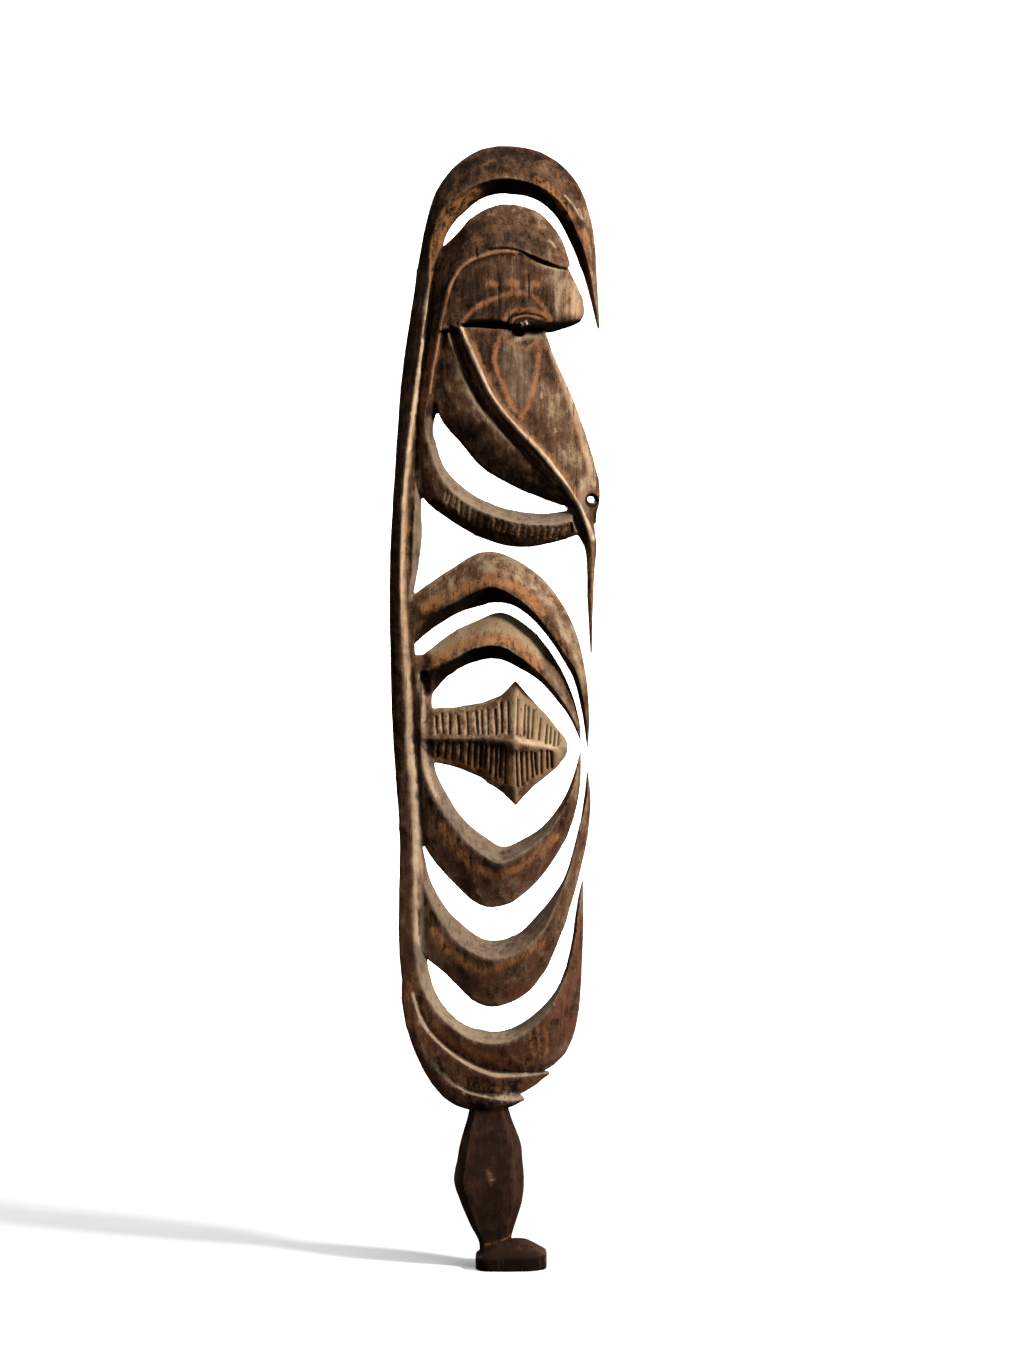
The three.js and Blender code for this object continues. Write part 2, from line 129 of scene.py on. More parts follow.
# %% Stage
BOWL_RADIUS = 9.0
BOWL_BEND = 3.0
BOWL_HEIGHT = 7.0
BEND_STEPS = 8
SPIN_STEPS = 64
WELD = 1e-6
PAPER_WHITE = (0.78, 0.78, 0.78, 1)
PAPER_ROUGHNESS = 0.95
PAPER_GLOW = 0.17


def bowl_profile(bm):
    """Floor from the middle outwards, a quarter round, and the wall."""
    corners = [(0, 0), (BOWL_RADIUS - BOWL_BEND, 0)]
    for turn in np.linspace(0, np.pi / 2, BEND_STEPS + 1)[1:]:
        out = BOWL_RADIUS - BOWL_BEND + BOWL_BEND * np.sin(turn)
        corners.append((out, BOWL_BEND - BOWL_BEND * np.cos(turn)))
    corners.append((BOWL_RADIUS, BOWL_HEIGHT))
    verts = [bm.verts.new((x, 0, z)) for x, z in corners]
    return verts + [bm.edges.new(pair) for pair in zip(verts, verts[1:])]


def object_from(bm, name):
    """The bmesh as a new object, with its faces turned outwards."""
    bmesh.ops.recalc_face_normals(bm, faces=bm.faces)
    mesh = bpy.data.meshes.new(name)
    bm.to_mesh(mesh)
    bm.free()
    made = bpy.data.objects.new(name, mesh)
    bpy.context.scene.collection.objects.link(made)
    return made


bm = bmesh.new()
bmesh.ops.spin(
    bm, geom=bowl_profile(bm), cent=(0, 0, 0), axis=(0, 0, 1), angle=2 * np.pi, steps=SPIN_STEPS,
    use_merge=True,
)
bmesh.ops.remove_doubles(bm, verts=bm.verts, dist=WELD)
stage = object_from(bm, "stage")
stage.data.shade_smooth()
stage.visible_diffuse = False
stage.visible_glossy = False
paper = bpy.data.materials.new("paper")
paper.use_nodes = True
paper_inputs = paper.node_tree.nodes["Principled BSDF"].inputs
paper_inputs["Base Color"].default_value = PAPER_WHITE
paper_inputs["Roughness"].default_value = PAPER_ROUGHNESS
paper_inputs["Emission Color"].default_value = (1, 1, 1, 1)
paper_inputs["Emission Strength"].default_value = PAPER_GLOW
stage.data.materials.append(paper)
print("stage faces:", len(stage.data.polygons))

# %% Lights
AIM = (0, 0, 0.75)
KEY = {"direction": (0.82, -0.57, 0.44), "distance": 4.6, "size": 0.6, "power": 330}
TOP = {"direction": (0.10, -0.16, 1.0), "distance": 5.0, "size": 2.6, "power": 180}
PAPER_LIGHT = {"direction": (0, 0.72, 0.5), "distance": 6.0, "size": 5.0, "power": 780}
PAPER_AIM = (0, BOWL_RADIUS, 0)
ROOM = {"below": 0.02, "level": 0.12, "above": 0.5}


def soft_light(name, direction, distance, size, power, aim=AIM):
    """A square soft box in that direction from the figure."""
    light = bpy.data.lights.new(name, "AREA")
    light.shape = "SQUARE"
    light.size = size
    light.energy = power
    offset = Vector(direction).normalized() * distance
    return place(light, name, Vector(AIM) + offset, aim)


def light_room():
    """A dim room that is dark below and soft above."""
    world = bpy.data.worlds.new("room")
    bpy.context.scene.world = world
    world.use_nodes = True
    nodes = world.node_tree.nodes
    links = world.node_tree.links
    direction = nodes.new("ShaderNodeTexCoord")
    parts = nodes.new("ShaderNodeSeparateXYZ")
    strength = nodes.new("ShaderNodeFloatCurve")
    points = strength.mapping.curves[0].points
    points[0].location = (0.0, ROOM["below"])
    points[1].location = (1.0, ROOM["above"])
    points.new(0.5, ROOM["level"])
    scaled = nodes.new("ShaderNodeMapRange")
    scaled.inputs["From Min"].default_value = -1
    links.new(direction.outputs["Generated"], parts.inputs[0])
    links.new(parts.outputs["Z"], scaled.inputs["Value"])
    links.new(scaled.outputs["Result"], strength.inputs["Value"])
    links.new(strength.outputs["Value"], nodes["Background"].inputs["Strength"])
    nodes["Background"].inputs["Color"].default_value = (1, 1, 1, 1)


soft_light("key light", **KEY)
soft_light("top light", **TOP)
soft_light("paper light", **PAPER_LIGHT, aim=PAPER_AIM)
light_room()
bpy.context.scene.view_settings.view_transform = "Standard"
print("lights:", [light.name for light in bpy.data.lights])

# %% [markdown]
# Blades
#
# Nearly every form on the figure is a long curved blade: a wedge that is thin at its outer edge,
# thickest along a ridge on each side, and thin again at its inner edge. We state it by stations,
# each with its outer edge, ridge and inner edge as (x, z) in mm, and by short lists of its half
# thickness along those three lines. A smooth course runs through the stations, so that few of them
# make a clean curve, as a long stroke of the adze does.
#
# The mesh is a grid that is rolled up: each of its rows becomes one ring round the blade. Then the
# seam is welded and the two ends are filled.

# %% Blade helpers
ROWS = 8
CURVE_STEPS = 4
SHOULDER = 0.62
FIGURE_HEIGHT = 1492


def smooth_course(points, rows):
    """A Catmull-Rom course through points, with that many steps from each to the next."""
    points = np.asarray(points, float).reshape(len(points), -1)
    padded = np.vstack([2 * points[0] - points[1], points, 2 * points[-1] - points[-2]])
    steps = np.arange((len(points) - 1) * rows + 1) / rows
    index = np.minimum(steps.astype(int), len(points) - 2)
    t = (steps - index)[:, None]
    before, start, end, after = (padded[index + offset] for offset in range(4))
    linear = (end - before) * t
    square = (2 * before - 5 * start + 4 * end - after) * t**2
    cube = (3 * (start - end) + after - before) * t**3
    return (2 * start + linear + square + cube) / 2


def spread(values, count):
    """A short list of half thicknesses, spread evenly over a number of rows."""
    return np.interp(np.linspace(0, len(values) - 1, count), np.arange(len(values)), values)


def ring_sections(lines):
    """Near side and far side of each ring, from lines given as ((x, z) rows, half thickness rows)."""
    near = [np.column_stack([line[:, 0], -half, line[:, 1]]) for line, half in lines]
    far = [np.column_stack([line[:, 0], half, line[:, 1]]) for line, half in reversed(lines)]
    return np.stack(near + far, axis=1) * MM


def blade(stations, edge, ridge, inner, shoulder=SHOULDER, rows=ROWS):
    """Rings of a blade. The shoulder is the bend in its broad facet, halfway from edge to ridge."""
    course = smooth_course(stations, rows).reshape(-1, 3, 2)
    outer_line, ridge_line, inner_line = (course[:, line] for line in range(3))
    half_edge, half_ridge, half_inner = (spread(half, len(course)) for half in (edge, ridge, inner))
    half_shoulder = half_edge + shoulder * (half_ridge - half_edge)
    return ring_sections([
        (outer_line, half_edge),
        ((outer_line + ridge_line) / 2, half_shoulder),
        (ridge_line, half_ridge),
        (inner_line, half_inner),
    ])


def loft(bm, sections):
    """Adds a closed skin over the rings to a bmesh."""
    rows, corners, _ = sections.shape
    made = bmesh.ops.create_grid(bm, x_segments=rows - 1, y_segments=corners, size=0.5)["verts"]
    for vert in made:
        row = round((vert.co.x + 0.5) * (rows - 1))
        corner = round((vert.co.y + 0.5) * corners) % corners
        vert.co = sections[row, corner]
    bmesh.ops.remove_doubles(bm, verts=made, dist=WELD)
    open_edges = [edge for edge in bm.edges if edge.is_boundary]
    bmesh.ops.holes_fill(bm, edges=open_edges)


blank = bmesh.new()


def add_rings(name, sections):
    loft(blank, sections)
    print(f"{name}: {len(sections)} rings, thickest {2 * sections[:, :, 1].max() / MM:.0f} mm")


def add_blade(name, stations, **shape):
    add_rings(name, blade(stations, **shape))


# %% [markdown]
# Back, hooks and leaves
#
# The back starts at the tip of the top hook, runs over it, down the spine and along the bottom
# hook to its tip. The inner run starts at the tip of the second upper hook, goes down the strip
# that carries the diamond and out along the first lower hook. The other hooks and the leaves grow
# out of the spine. Their thin roots lie inside it, so nothing shows where they join.

# %% Back
BACK = {
    "stations": [
        ((117, 1250), (115.5, 1248), (114, 1250)), ((113, 1321), (104, 1322), (97, 1317)),
        ((107, 1387), (86, 1375), (77, 1367)), ((84, 1447), (65, 1412), (56, 1404)),
        ((44, 1481), (36, 1434), (31, 1423)), ((-3, FIGURE_HEIGHT), (-5, 1445), (-5, 1431)),
        ((-45, 1486), (-40, 1439), (-36, 1426)), ((-80, 1461), (-73, 1421), (-61, 1409)),
        ((-104, 1425), (-95, 1397), (-83, 1384)), ((-119, 1368), (-108, 1354), (-93, 1356)),
        ((-131, 1295), (-111, 1290), (-102, 1299)), ((-147, 1181), (-127, 1179), (-118, 1181)),
        ((-157, 1048), (-143, 1046), (-131, 1048)), ((-163, 928), (-148, 927), (-135, 928)),
        ((-162, 808), (-147, 808), (-129, 808)), ((-158.5, 701), (-140, 702), (-127, 701)),
        ((-150, 581), (-132, 582), (-120, 581)), ((-151, 468), (-129, 470), (-119, 468)),
        ((-149, 401), (-126, 402), (-113, 405)), ((-138, 350), (-114, 363), (-101, 363)),
        ((-108, 300), (-89, 329), (-80, 333)), ((-58, 268), (-50, 304), (-47, 315)),
        ((-3, 254), (-11, 301), (-12, 313)), ((45, 263), (23, 319), (19, 327)),
        ((76, 295), (50, 348), (48, 353)), ((89, 344), (69, 386), (67, 383)),
        ((94, 421), (82, 433), (79, 429)), ((95, 481), (90, 486), (87, 484)),
        ((95, 513), (94, 514), (93, 513)),
    ],
    "edge": [3, 10, 13, 12, 10, 8, 8, 8, 8, 9, 13, 20, 14, 3],
    "ridge": [6, 31, 41, 36, 28, 37, 25, 15, 16, 20, 32, 48, 36, 5],
    "inner": [3, 8, 10, 9, 11, 12, 11, 11, 12, 11, 10, 10, 9, 2],
}
add_blade("back", **BACK)

# %% Inner run
INNER_RUN = {
    "stations": [
        ((92, 700), (91, 700), (91, 701)), ((89, 731), (81, 729), (77, 731)),
        ((75, 776), (64, 757), (60, 755)), ((53, 816), (42, 784), (37, 780)),
        ((25, 849), (15, 808), (9, 798)), ((-12, 871), (-17, 826), (-21, 810)),
        ((-47, 860), (-52, 822), (-53, 805)), ((-83, 842), (-85, 805), (-80, 791)),
        ((-115, 817), (-113, 793), (-98, 773)), ((-133, 806), (-124, 779), (-107, 759)),
        ((-133, 728), (-121, 728), (-105, 728)), ((-131, 668), (-119, 669), (-105, 675)),
        ((-128, 608), (-107, 635), (-99, 652)), ((-117, 561), (-87, 600), (-77, 612)),
        ((-83, 517), (-61, 568), (-56, 587)), ((-45, 483), (-36, 548), (-35, 571)),
        ((-12, 481), (-13, 539), (-12, 559)), ((21, 501), (15, 554), (11, 567)),
        ((49, 533), (44, 576), (37, 583)), ((69, 566), (62, 601), (59, 607)),
        ((84, 606), (77, 629), (73, 631)), ((91, 644), (86, 659), (84, 660)),
        ((92, 687), (91, 687), (91, 686)),
    ],
    "edge": [3, 9, 11, 12, 8, 9, 12, 9, 3],
    "ridge": [4, 37, 41, 18, 17, 25, 45, 39, 4],
    "inner": [2, 8, 8, 10, 12, 9, 8, 7, 2],
}
add_blade("inner run", **INNER_RUN)

# %% Other hooks
UPPER_HOOK = {
    "stations": [
        ((-145, 885), (-140, 840), (-142, 819)), ((-109, 911), (-105, 869), (-104, 852)),
        ((-77, 932), (-75, 885), (-75, 870)), ((-48, 949), (-45, 900), (-48, 879)),
        ((-19, 951), (-23, 904), (-24, 885)), ((15, 936), (7, 889), (1, 881)),
        ((44, 913), (32, 867), (27, 863)), ((68, 881), (54, 838), (51, 835)),
        ((87, 840), (73, 810), (69, 807)), ((99, 784), (87, 787), (83, 780)),
        ((103, 728), (97, 740), (93, 740)), ((101, 691), (101, 691), (100, 692)),
    ],
    "edge": [10, 12, 12, 12, 10, 7, 3],
    "ridge": [12, 23, 37, 43, 39, 27, 4],
    "inner": [8, 10, 9, 8, 8, 6, 2],
}
LOWER_HOOK = {
    "stations": [
        ((-128, 556), (-121, 553), (-119, 557)), ((-127, 488), (-116, 507), (-109, 515)),
        ((-119, 424), (-94, 462), (-88, 477)), ((-86, 388), (-70, 432), (-65, 454)),
        ((-45, 351), (-40, 415), (-39, 436)), ((-11, 349), (-12, 413), (-12, 435)),
        ((24, 369), (15, 425), (11, 445)), ((51, 409), (40, 449), (33, 467)),
        ((72, 463), (61, 492), (56, 495)), ((88, 515), (76, 532), (73, 525)),
        ((101, 577), (90, 587), (88, 576)), ((105, 621), (100, 628), (96, 624)),
        ((101, 661), (101, 661), (100, 660)),
    ],
    "edge": [10, 14, 14, 12, 11, 8, 3],
    "ridge": [12, 23, 37, 45, 40, 27, 4],
    "inner": [8, 10, 9, 8, 8, 6, 2],
}
add_blade("upper hook", **UPPER_HOOK)
add_blade("lower hook", **LOWER_HOOK)

# %% Leaves
SMALL_LEAF = {
    "stations": [
        ((-132, 1060), (-128, 1058), (-122, 1057)), ((-134, 1015), (-129, 1013), (-121, 1015)),
        ((-136, 975), (-131, 974), (-120, 975)), ((-138, 935), (-132, 934), (-124, 937)),
        ((-139, 890), (-137, 890), (-133, 890)),
    ],
    "edge": [5, 9, 7],
    "ridge": [10, 17, 11],
    "inner": [5, 7, 6],
}
LEAF = {
    "stations": [
        ((-145, 397), (-142, 396), (-140, 397)), ((-147, 357), (-133, 364), (-131, 365)),
        ((-137, 309), (-119, 324), (-116, 325)), ((-114, 270), (-94, 297), (-92, 297)),
        ((-78, 231), (-64, 274), (-61, 275)), ((-33, 219), (-28, 258), (-27, 261)),
        ((11, 231), (9, 256), (9, 259)), ((51, 257), (49, 259), (48, 259)),
    ],
    "edge": [9, 15, 23, 25, 9],
    "ridge": [11, 22, 34, 39, 14],
    "inner": [9, 18, 28, 32, 11],
}
LOWEST_LEAF = {
    "stations": [
        ((-144, 336), (-139, 332), (-137, 333)), ((-133, 295), (-122, 296), (-119, 297)),
        ((-107, 245), (-94, 257), (-92, 259)), ((-76, 217), (-62, 236), (-61, 238)),
        ((-36, 208), (-30, 228), (-29, 231)), ((-5, 213), (-4, 224), (-3, 232)),
        ((17, 222), (15, 224), (9, 231)),
    ],
    "edge": [9, 15, 22, 24, 10],
    "ridge": [12, 23, 32, 36, 16],
    "inner": [10, 19, 26, 28, 12],
}
for leaf_name, leaf_shape in (("small leaf", SMALL_LEAF), ("leaf", LEAF), ("lowest leaf", LOWEST_LEAF)):
    add_blade(leaf_name, **leaf_shape)

# %% [markdown]
# Head
#
# The head is thick at the back and comes to a narrow front, like a bird's. Its cap and the beard
# below it are one blade that goes over the dome and down the back of the head. The face is another
# blade, whose outer edge is the line of the nose and whose ridge is the cheek, and the jaw is a
# third. The brow is a flat plate between them. In plan the head's front is half an ellipse, so
# whatever would stand out of that plan is pressed back to it.

# %% Head plan
PLAN = {"start": 20, "tip": 97, "half": 57}


def plan_half(x):
    """The head's half width at x, in mm: straight at the back, an ellipse at the front."""
    share = np.clip((x - PLAN["start"]) / (PLAN["tip"] - PLAN["start"]), 0, 1)
    return PLAN["half"] * np.sqrt(1 - share**2)


print("half width of the head, 20 mm behind its tip:", round(float(plan_half(PLAN["tip"] - 20)), 1), "mm")

# %% Cap and beard
HEAD_RUN = {
    "stations": [
        ((77, 1336), (73, 1327), (64, 1320)), ((64, 1371), (53, 1332), (44, 1320)),
        ((35, 1403), (22, 1344), (19, 1328)), ((-9, 1414), (-13, 1349), (-8, 1331)),
        ((-45, 1402), (-45, 1341), (-27, 1325)), ((-73, 1375), (-67, 1325), (-48, 1309)),
        ((-97, 1346), (-81, 1302), (-60, 1293)), ((-109, 1281), (-89, 1273), (-69, 1269)),
        ((-116, 1228), (-99, 1224), (-80, 1219)), ((-125, 1175), (-109, 1169), (-88, 1172)),
        ((-130, 1128), (-116, 1126), (-105, 1124)), ((-130, 1075), (-109, 1089), (-101, 1092)),
        ((-119, 1026), (-93, 1049), (-87, 1060)), ((-83, 995), (-68, 1022), (-64, 1037)),
        ((-40, 971), (-37, 1004), (-35, 1019)), ((5, 959), (1, 991), (3, 1007)),
        ((51, 964), (44, 987), (44, 1003)), ((87, 975), (81, 992), (79, 1008)),
    ],
    "edge": [14, 15, 15, 13, 11, 10, 11, 12, 11],
    "ridge": [45, 53, 52, 50, 35, 23, 27, 39, 29],
    "inner": [28, 38, 40, 35, 25, 10, 9, 9, 9],
}
head_sections = blade(**HEAD_RUN)
head_limit = plan_half(head_sections[:, :, 0] / MM) * MM
head_sections[:, :, 1] = np.clip(head_sections[:, :, 1], -head_limit, head_limit)
add_rings("cap and beard", head_sections)

# %% Jaw
JAW = {
    "stations": [
        ((-91, 1266), (-88, 1264), (-84, 1265)), ((-95, 1237), (-83, 1233), (-79, 1241)),
        ((-108, 1179), (-69, 1190), (-64, 1200)), ((-95, 1131), (-50, 1149), (-45, 1159)),
        ((-71, 1101), (-29, 1123), (-24, 1132)), ((-39, 1065), (-1, 1094), (3, 1101)),
        ((9, 1037), (34, 1062), (40, 1068)), ((67, 1014), (73, 1022), (77, 1025)),
    ],
    "edge": [40, 27, 22, 18, 14],
    "ridge": [45, 40, 38, 34, 22],
    "inner": [30, 29, 27, 22, 14],
}
add_blade("jaw", **JAW)

# %% [markdown]
# Face, with the hole in its nose
#
# The hole went through the nose for a cord or a feather. A blade is easy to drill while it is still
# on its own, so the face is made apart, drilled with a Boolean modifier, and then joins the blank.

# %% Face
FACE_RUN = {
    "stations": [
        ((44, 1243), (-69, 1248), (-78, 1244)), ((57, 1209), (-53, 1213), (-63, 1207)),
        ((79, 1160), (-29, 1159), (-39, 1152)), ((98, 1108), (5, 1116), (-4, 1109)),
        ((112, 1061), (49, 1065), (41, 1060)), ((117, 1032), (78, 1032), (71, 1028)),
        ((115, 1011), (93, 1004), (80, 997)), ((109, 990), (100, 984), (86, 979)),
        ((113, 960), (106, 957), (97, 957)), ((110, 925), (106, 925), (100, 925)),
        ((108, 881), (106, 881), (101, 881)), ((107, 827), (106, 827), (104, 827)),
        ((106, 815), (105, 815), (105, 815)),
    ],
    "edge": [25, 22, 17, 11, 8, 6, 2],
    "ridge": [47, 46, 41, 24, 14, 9, 3],
    "inner": [30, 28, 24, 14, 9, 6, 2],
    "shoulder": 0.7,
}
NOSE_HOLE = {"centre": (105, 1022), "radius": 5.2, "sides": 32, "drill": 0.1}


def evaluated_mesh(carrier):
    """The mesh that an object's modifiers make, as a new mesh."""
    bpy.context.view_layer.update()
    graph = bpy.context.evaluated_depsgraph_get()
    return bpy.data.meshes.new_from_object(carrier.evaluated_get(graph))


def discard(*things):
    for thing in things:
        bpy.data.objects.remove(thing)


bm = bmesh.new()
loft(bm, blade(**FACE_RUN))
face = object_from(bm, "face")
bm = bmesh.new()
hole_x, hole_z = NOSE_HOLE["centre"]
hole_radius = NOSE_HOLE["radius"] * MM
bmesh.ops.create_cone(
    bm, cap_ends=True, segments=NOSE_HOLE["sides"], radius1=hole_radius, radius2=hole_radius,
    depth=NOSE_HOLE["drill"], matrix=Matrix.Rotation(np.pi / 2, 4, "X"),
)
bmesh.ops.translate(bm, verts=bm.verts, vec=(hole_x * MM, 0, hole_z * MM))
drill = object_from(bm, "drill")
cut = face.modifiers.new("nose hole", "BOOLEAN")
cut.operation = "DIFFERENCE"
cut.solver = "EXACT"
cut.object = drill
blank.from_mesh(evaluated_mesh(face))
discard(face, drill)
print("blank so far:", len(blank.verts), "points")

# %% [markdown]
# Plates
#
# The brow, the core that the grooves of the head are cut down to, the knot where jaw, beard and
# nose meet, and the stump of a broken loop are flat plates: an outline that is extruded through the
# figure's thickness, with its rim bevelled. The brow is cut into thin upright strips first, so that
# pressing it back to the head's plan gives it a round front.

# %% Plates
BROW_OUTLINE = [
    (75, 1324), (84, 1309), (94, 1288), (97, 1270), (91, 1260), (77, 1255), (58, 1251), (38, 1248),
    (20, 1248), (4, 1249), (-9, 1253), (-29, 1255), (-49, 1254), (-65, 1252), (-76, 1245), (-96, 1242),
    (-87, 1288), (-78, 1309), (-65, 1325), (-46, 1340), (-35, 1345), (-18, 1348), (-2, 1347),
    (11, 1344), (24, 1338), (37, 1332), (50, 1328),
]
CORE_OUTLINE = [
    (70, 1315), (78, 1275), (72, 1257), (46, 1248), (40, 1232), (43, 1160), (60, 1108), (60, 1038),
    (34, 1056), (-1, 1088), (-29, 1117), (-50, 1143), (-69, 1185), (-85, 1235), (-92, 1290),
    (-60, 1325), (0, 1340),
]
KNOT_OUTLINE = [(66, 1018), (84, 1028), (96, 996), (95, 978), (87, 978), (80, 984), (74, 994), (74, 1010)]
STUMP_OUTLINE = [(102, 1008), (113, 1003), (112, 991), (104, 988)]
BROW_HALF = 50
BROW_CHAMFER = 4
STRIP = 4


def plate(outline, half, chamfer):
    """A plate through the middle plane, with its rim bevelled."""
    bm = bmesh.new()
    corners = [bm.verts.new((x * MM, -half * MM, z * MM)) for x, z in outline]
    side = bm.faces.new(corners)
    grown = bmesh.ops.extrude_face_region(bm, geom=[side])["geom"]
    lifted = [part for part in grown if isinstance(part, bmesh.types.BMVert)]
    bmesh.ops.translate(bm, verts=lifted, vec=(0, 2 * half * MM, 0))
    bmesh.ops.holes_fill(bm, edges=bm.edges)
    rim = [edge for edge in bm.edges if abs(edge.verts[0].co.y - edge.verts[1].co.y) < WELD]
    bmesh.ops.bevel(
        bm, geom=rim, offset=chamfer * MM, offset_type="OFFSET", segments=2, profile=0.5,
        affect="EDGES", material=-1,
    )
    return bm


def add_to_blank(name, bm):
    mesh = bpy.data.meshes.new(name)
    bm.to_mesh(mesh)
    bm.free()
    blank.from_mesh(mesh)


brow = plate(BROW_OUTLINE, BROW_HALF, BROW_CHAMFER)
for x in range(PLAN["start"], PLAN["tip"], STRIP):
    parts = brow.verts[:] + brow.edges[:] + brow.faces[:]
    bmesh.ops.bisect_plane(brow, geom=parts, plane_co=(x * MM, 0, 0), plane_no=(1, 0, 0))
for vert in brow.verts:
    limit = plan_half(vert.co.x / MM) * MM
    vert.co.y = min(max(vert.co.y, -limit), limit)
add_to_blank("brow", brow)
for plate_name, outline, half, chamfer in (
    ("core", CORE_OUTLINE, 25, 2), ("knot", KNOT_OUTLINE, 12, 1), ("stump", STUMP_OUTLINE, 7, 1.5),
):
    add_to_blank(plate_name, plate(outline, half, chamfer))
print("blank so far:", len(blank.verts), "points")

# %% [markdown]
# Ear
#
# The ear is a small knob, a ring round a sunk middle. It is turned: half of its profile is spun
# round an axis that goes through the head, once for each side. The ring is stated in shares of the
# knob's radius and height, from its wall over its crest to its middle.

# %% Ear knobs
EAR = {"centre": (-73, 1252), "radius": 6.5, "height": 4, "root": 5, "sides": 24}
EAR_RING = [(1, 0.6), (0.75, 1), (0.45, 0.5), (0.3, 0.2), (0, 0.2)]


def ear_knob(side):
    radius, height, root = EAR["radius"], EAR["height"], EAR["root"]
    ring = [(out * radius, up * height) for out, up in EAR_RING]
    profile = [(0, -root), (radius, -root)] + ring
    bm = bmesh.new()
    x, z = EAR["centre"]
    points = [((x + out) * MM, side * (BROW_HALF + along) * MM, z * MM) for out, along in profile]
    verts = [bm.verts.new(point) for point in points]
    edges = [bm.edges.new(pair) for pair in zip(verts, verts[1:])]
    bmesh.ops.spin(
        bm, geom=verts + edges, cent=(x * MM, 0, z * MM), axis=(0, 1, 0), angle=2 * np.pi,
        steps=EAR["sides"], use_merge=True,
    )
    bmesh.ops.remove_doubles(bm, verts=bm.verts, dist=WELD)
    bmesh.ops.recalc_face_normals(bm, faces=bm.faces)
    return bm


for side in (-1, 1):
    add_to_blank("ear", ear_knob(side))
print("blank with ears:", len(blank.verts), "points")

# %% [markdown]
# Diamond
#
# The diamond is a blade too, but a straight one with flat facets, which rise to the point where
# its two ridges cross. The same helper makes it, with just one ring to each station, so that no
# smooth course rounds its corners.

# %% Diamond
DIAMOND = {
    "stations": [
        ((-121, 743), (-121, 704), (-121, 675)), ((-76, 745), (-76, 704), (-76, 666)),
        ((-40, 751), (-40, 704), (-40, 651)), ((-15, 761), (-15, 702), (-15, 633)),
        ((5, 779), (5, 699), (5, 615)), ((28, 754), (28, 694), (28, 639)),
        ((59, 718), (59, 690), (59, 664)), ((71, 704), (71, 692), (71, 679)),
        ((74, 697), (74, 692), (74, 687)),
    ],
    "edge": [10, 10, 10, 10, 10, 10, 10, 9, 8],
    "ridge": [20, 31, 37, 41, 45, 37, 25, 19, 14],
    "inner": [10, 10, 10, 10, 10, 10, 10, 9, 8],
    "shoulder": 0.5,
    "rows": 1,
}
add_blade("diamond", **DIAMOND)

# %% [markdown]
# Leg and foot
#
# The leg is eight-sided and widest at the knee. Its rows give the height, the back, the front and the
# half width in mm. The foot is a low wedge that is square at the heel and round at the toe, with a
# flat underside: a superellipse has one formula for both.

# %% Leg
LEG_CHAMFER = 0.13
LEG_FLAT = 0.35
LEG_ROWS = 4
LEG = [
    (222, -54, -8, 20), (195, -60, 0, 28), (165, -69, 11, 32), (141, -73, 14, 35), (115, -77, 16, 37),
    (88, -69, 13, 35), (57, -56, 4, 30), (36, -45, -1, 26), (20, -43, 4, 26),
]


def leg_sections():
    height, back, front, half = smooth_course(LEG, LEG_ROWS).T
    corner = LEG_CHAMFER * (front - back)
    return ring_sections([
        (np.column_stack([front, height]), LEG_FLAT * half),
        (np.column_stack([front - corner, height]), half),
        (np.column_stack([back + corner, height]), half),
        (np.column_stack([back, height]), LEG_FLAT * half),
    ])


add_rings("leg", leg_sections())

# %% Foot
FOOT = {"back": -48.5, "front": 46, "half": 50, "wall_back": 15, "wall_front": 20, "top": 34}
CROWN_SHARE = 0.5
SQUARENESS = {"heel": 0.3, "toe": 0.8, "sides": 0.55}
FOOT_CORNERS = 48


def squared(share, power):
    return np.sign(share) * np.abs(share) ** power


def foot_ring(scale, height):
    turn = np.linspace(0, 2 * np.pi, FOOT_CORNERS, endpoint=False)
    forward = np.cos(turn)
    power = np.where(forward > 0, SQUARENESS["toe"], SQUARENESS["heel"])
    half_length = (FOOT["front"] - FOOT["back"]) / 2
    x = (FOOT["front"] + FOOT["back"]) / 2 + scale * half_length * squared(forward, power)
    y = scale * FOOT["half"] * squared(np.sin(turn), SQUARENESS["sides"])
    return np.column_stack([x, y, height(x)]) * MM


def wall_top(x):
    return np.interp(x, (FOOT["back"], FOOT["front"]), (FOOT["wall_back"], FOOT["wall_front"]))


foot_rings = [
    foot_ring(1, lambda x: 0 * x),
    foot_ring(1, wall_top),
    foot_ring(CROWN_SHARE, lambda x: 0 * x + FOOT["top"]),
]
add_rings("foot", np.stack(foot_rings))

# %% [markdown]
# One block of wood
#
# The limbs still cut through each other. A voxel remesh fills the space that they take with small
# cubes and wraps one even skin round it, which is just what a single block of wood is. A little
# smoothing takes the steps out of the ridges.

# %% Remesh
VOXEL = 0.0015
EASE = 0.5
EASE_PASSES = 2

figure = object_from(blank, "blank")
remesh = figure.modifiers.new("one block", "REMESH")
remesh.mode = "VOXEL"
remesh.voxel_size = VOXEL
smooth = figure.modifiers.new("ease", "SMOOTH")
smooth.factor = EASE
smooth.iterations = EASE_PASSES
wood_mesh = evaluated_mesh(figure)
discard(figure)
print("block:", len(wood_mesh.vertices), "points")

# %% [markdown]
# The carver's skin
#
# From here on no new faces are made. The points of the block are moved, as a blade would take wood
# away, and numpy does that for all points at once: it holds where each point is and which way it
# faces, and every cut pushes points inwards by some amount.

# %% Skin
SIDE_FACING = (0.1, 0.4)


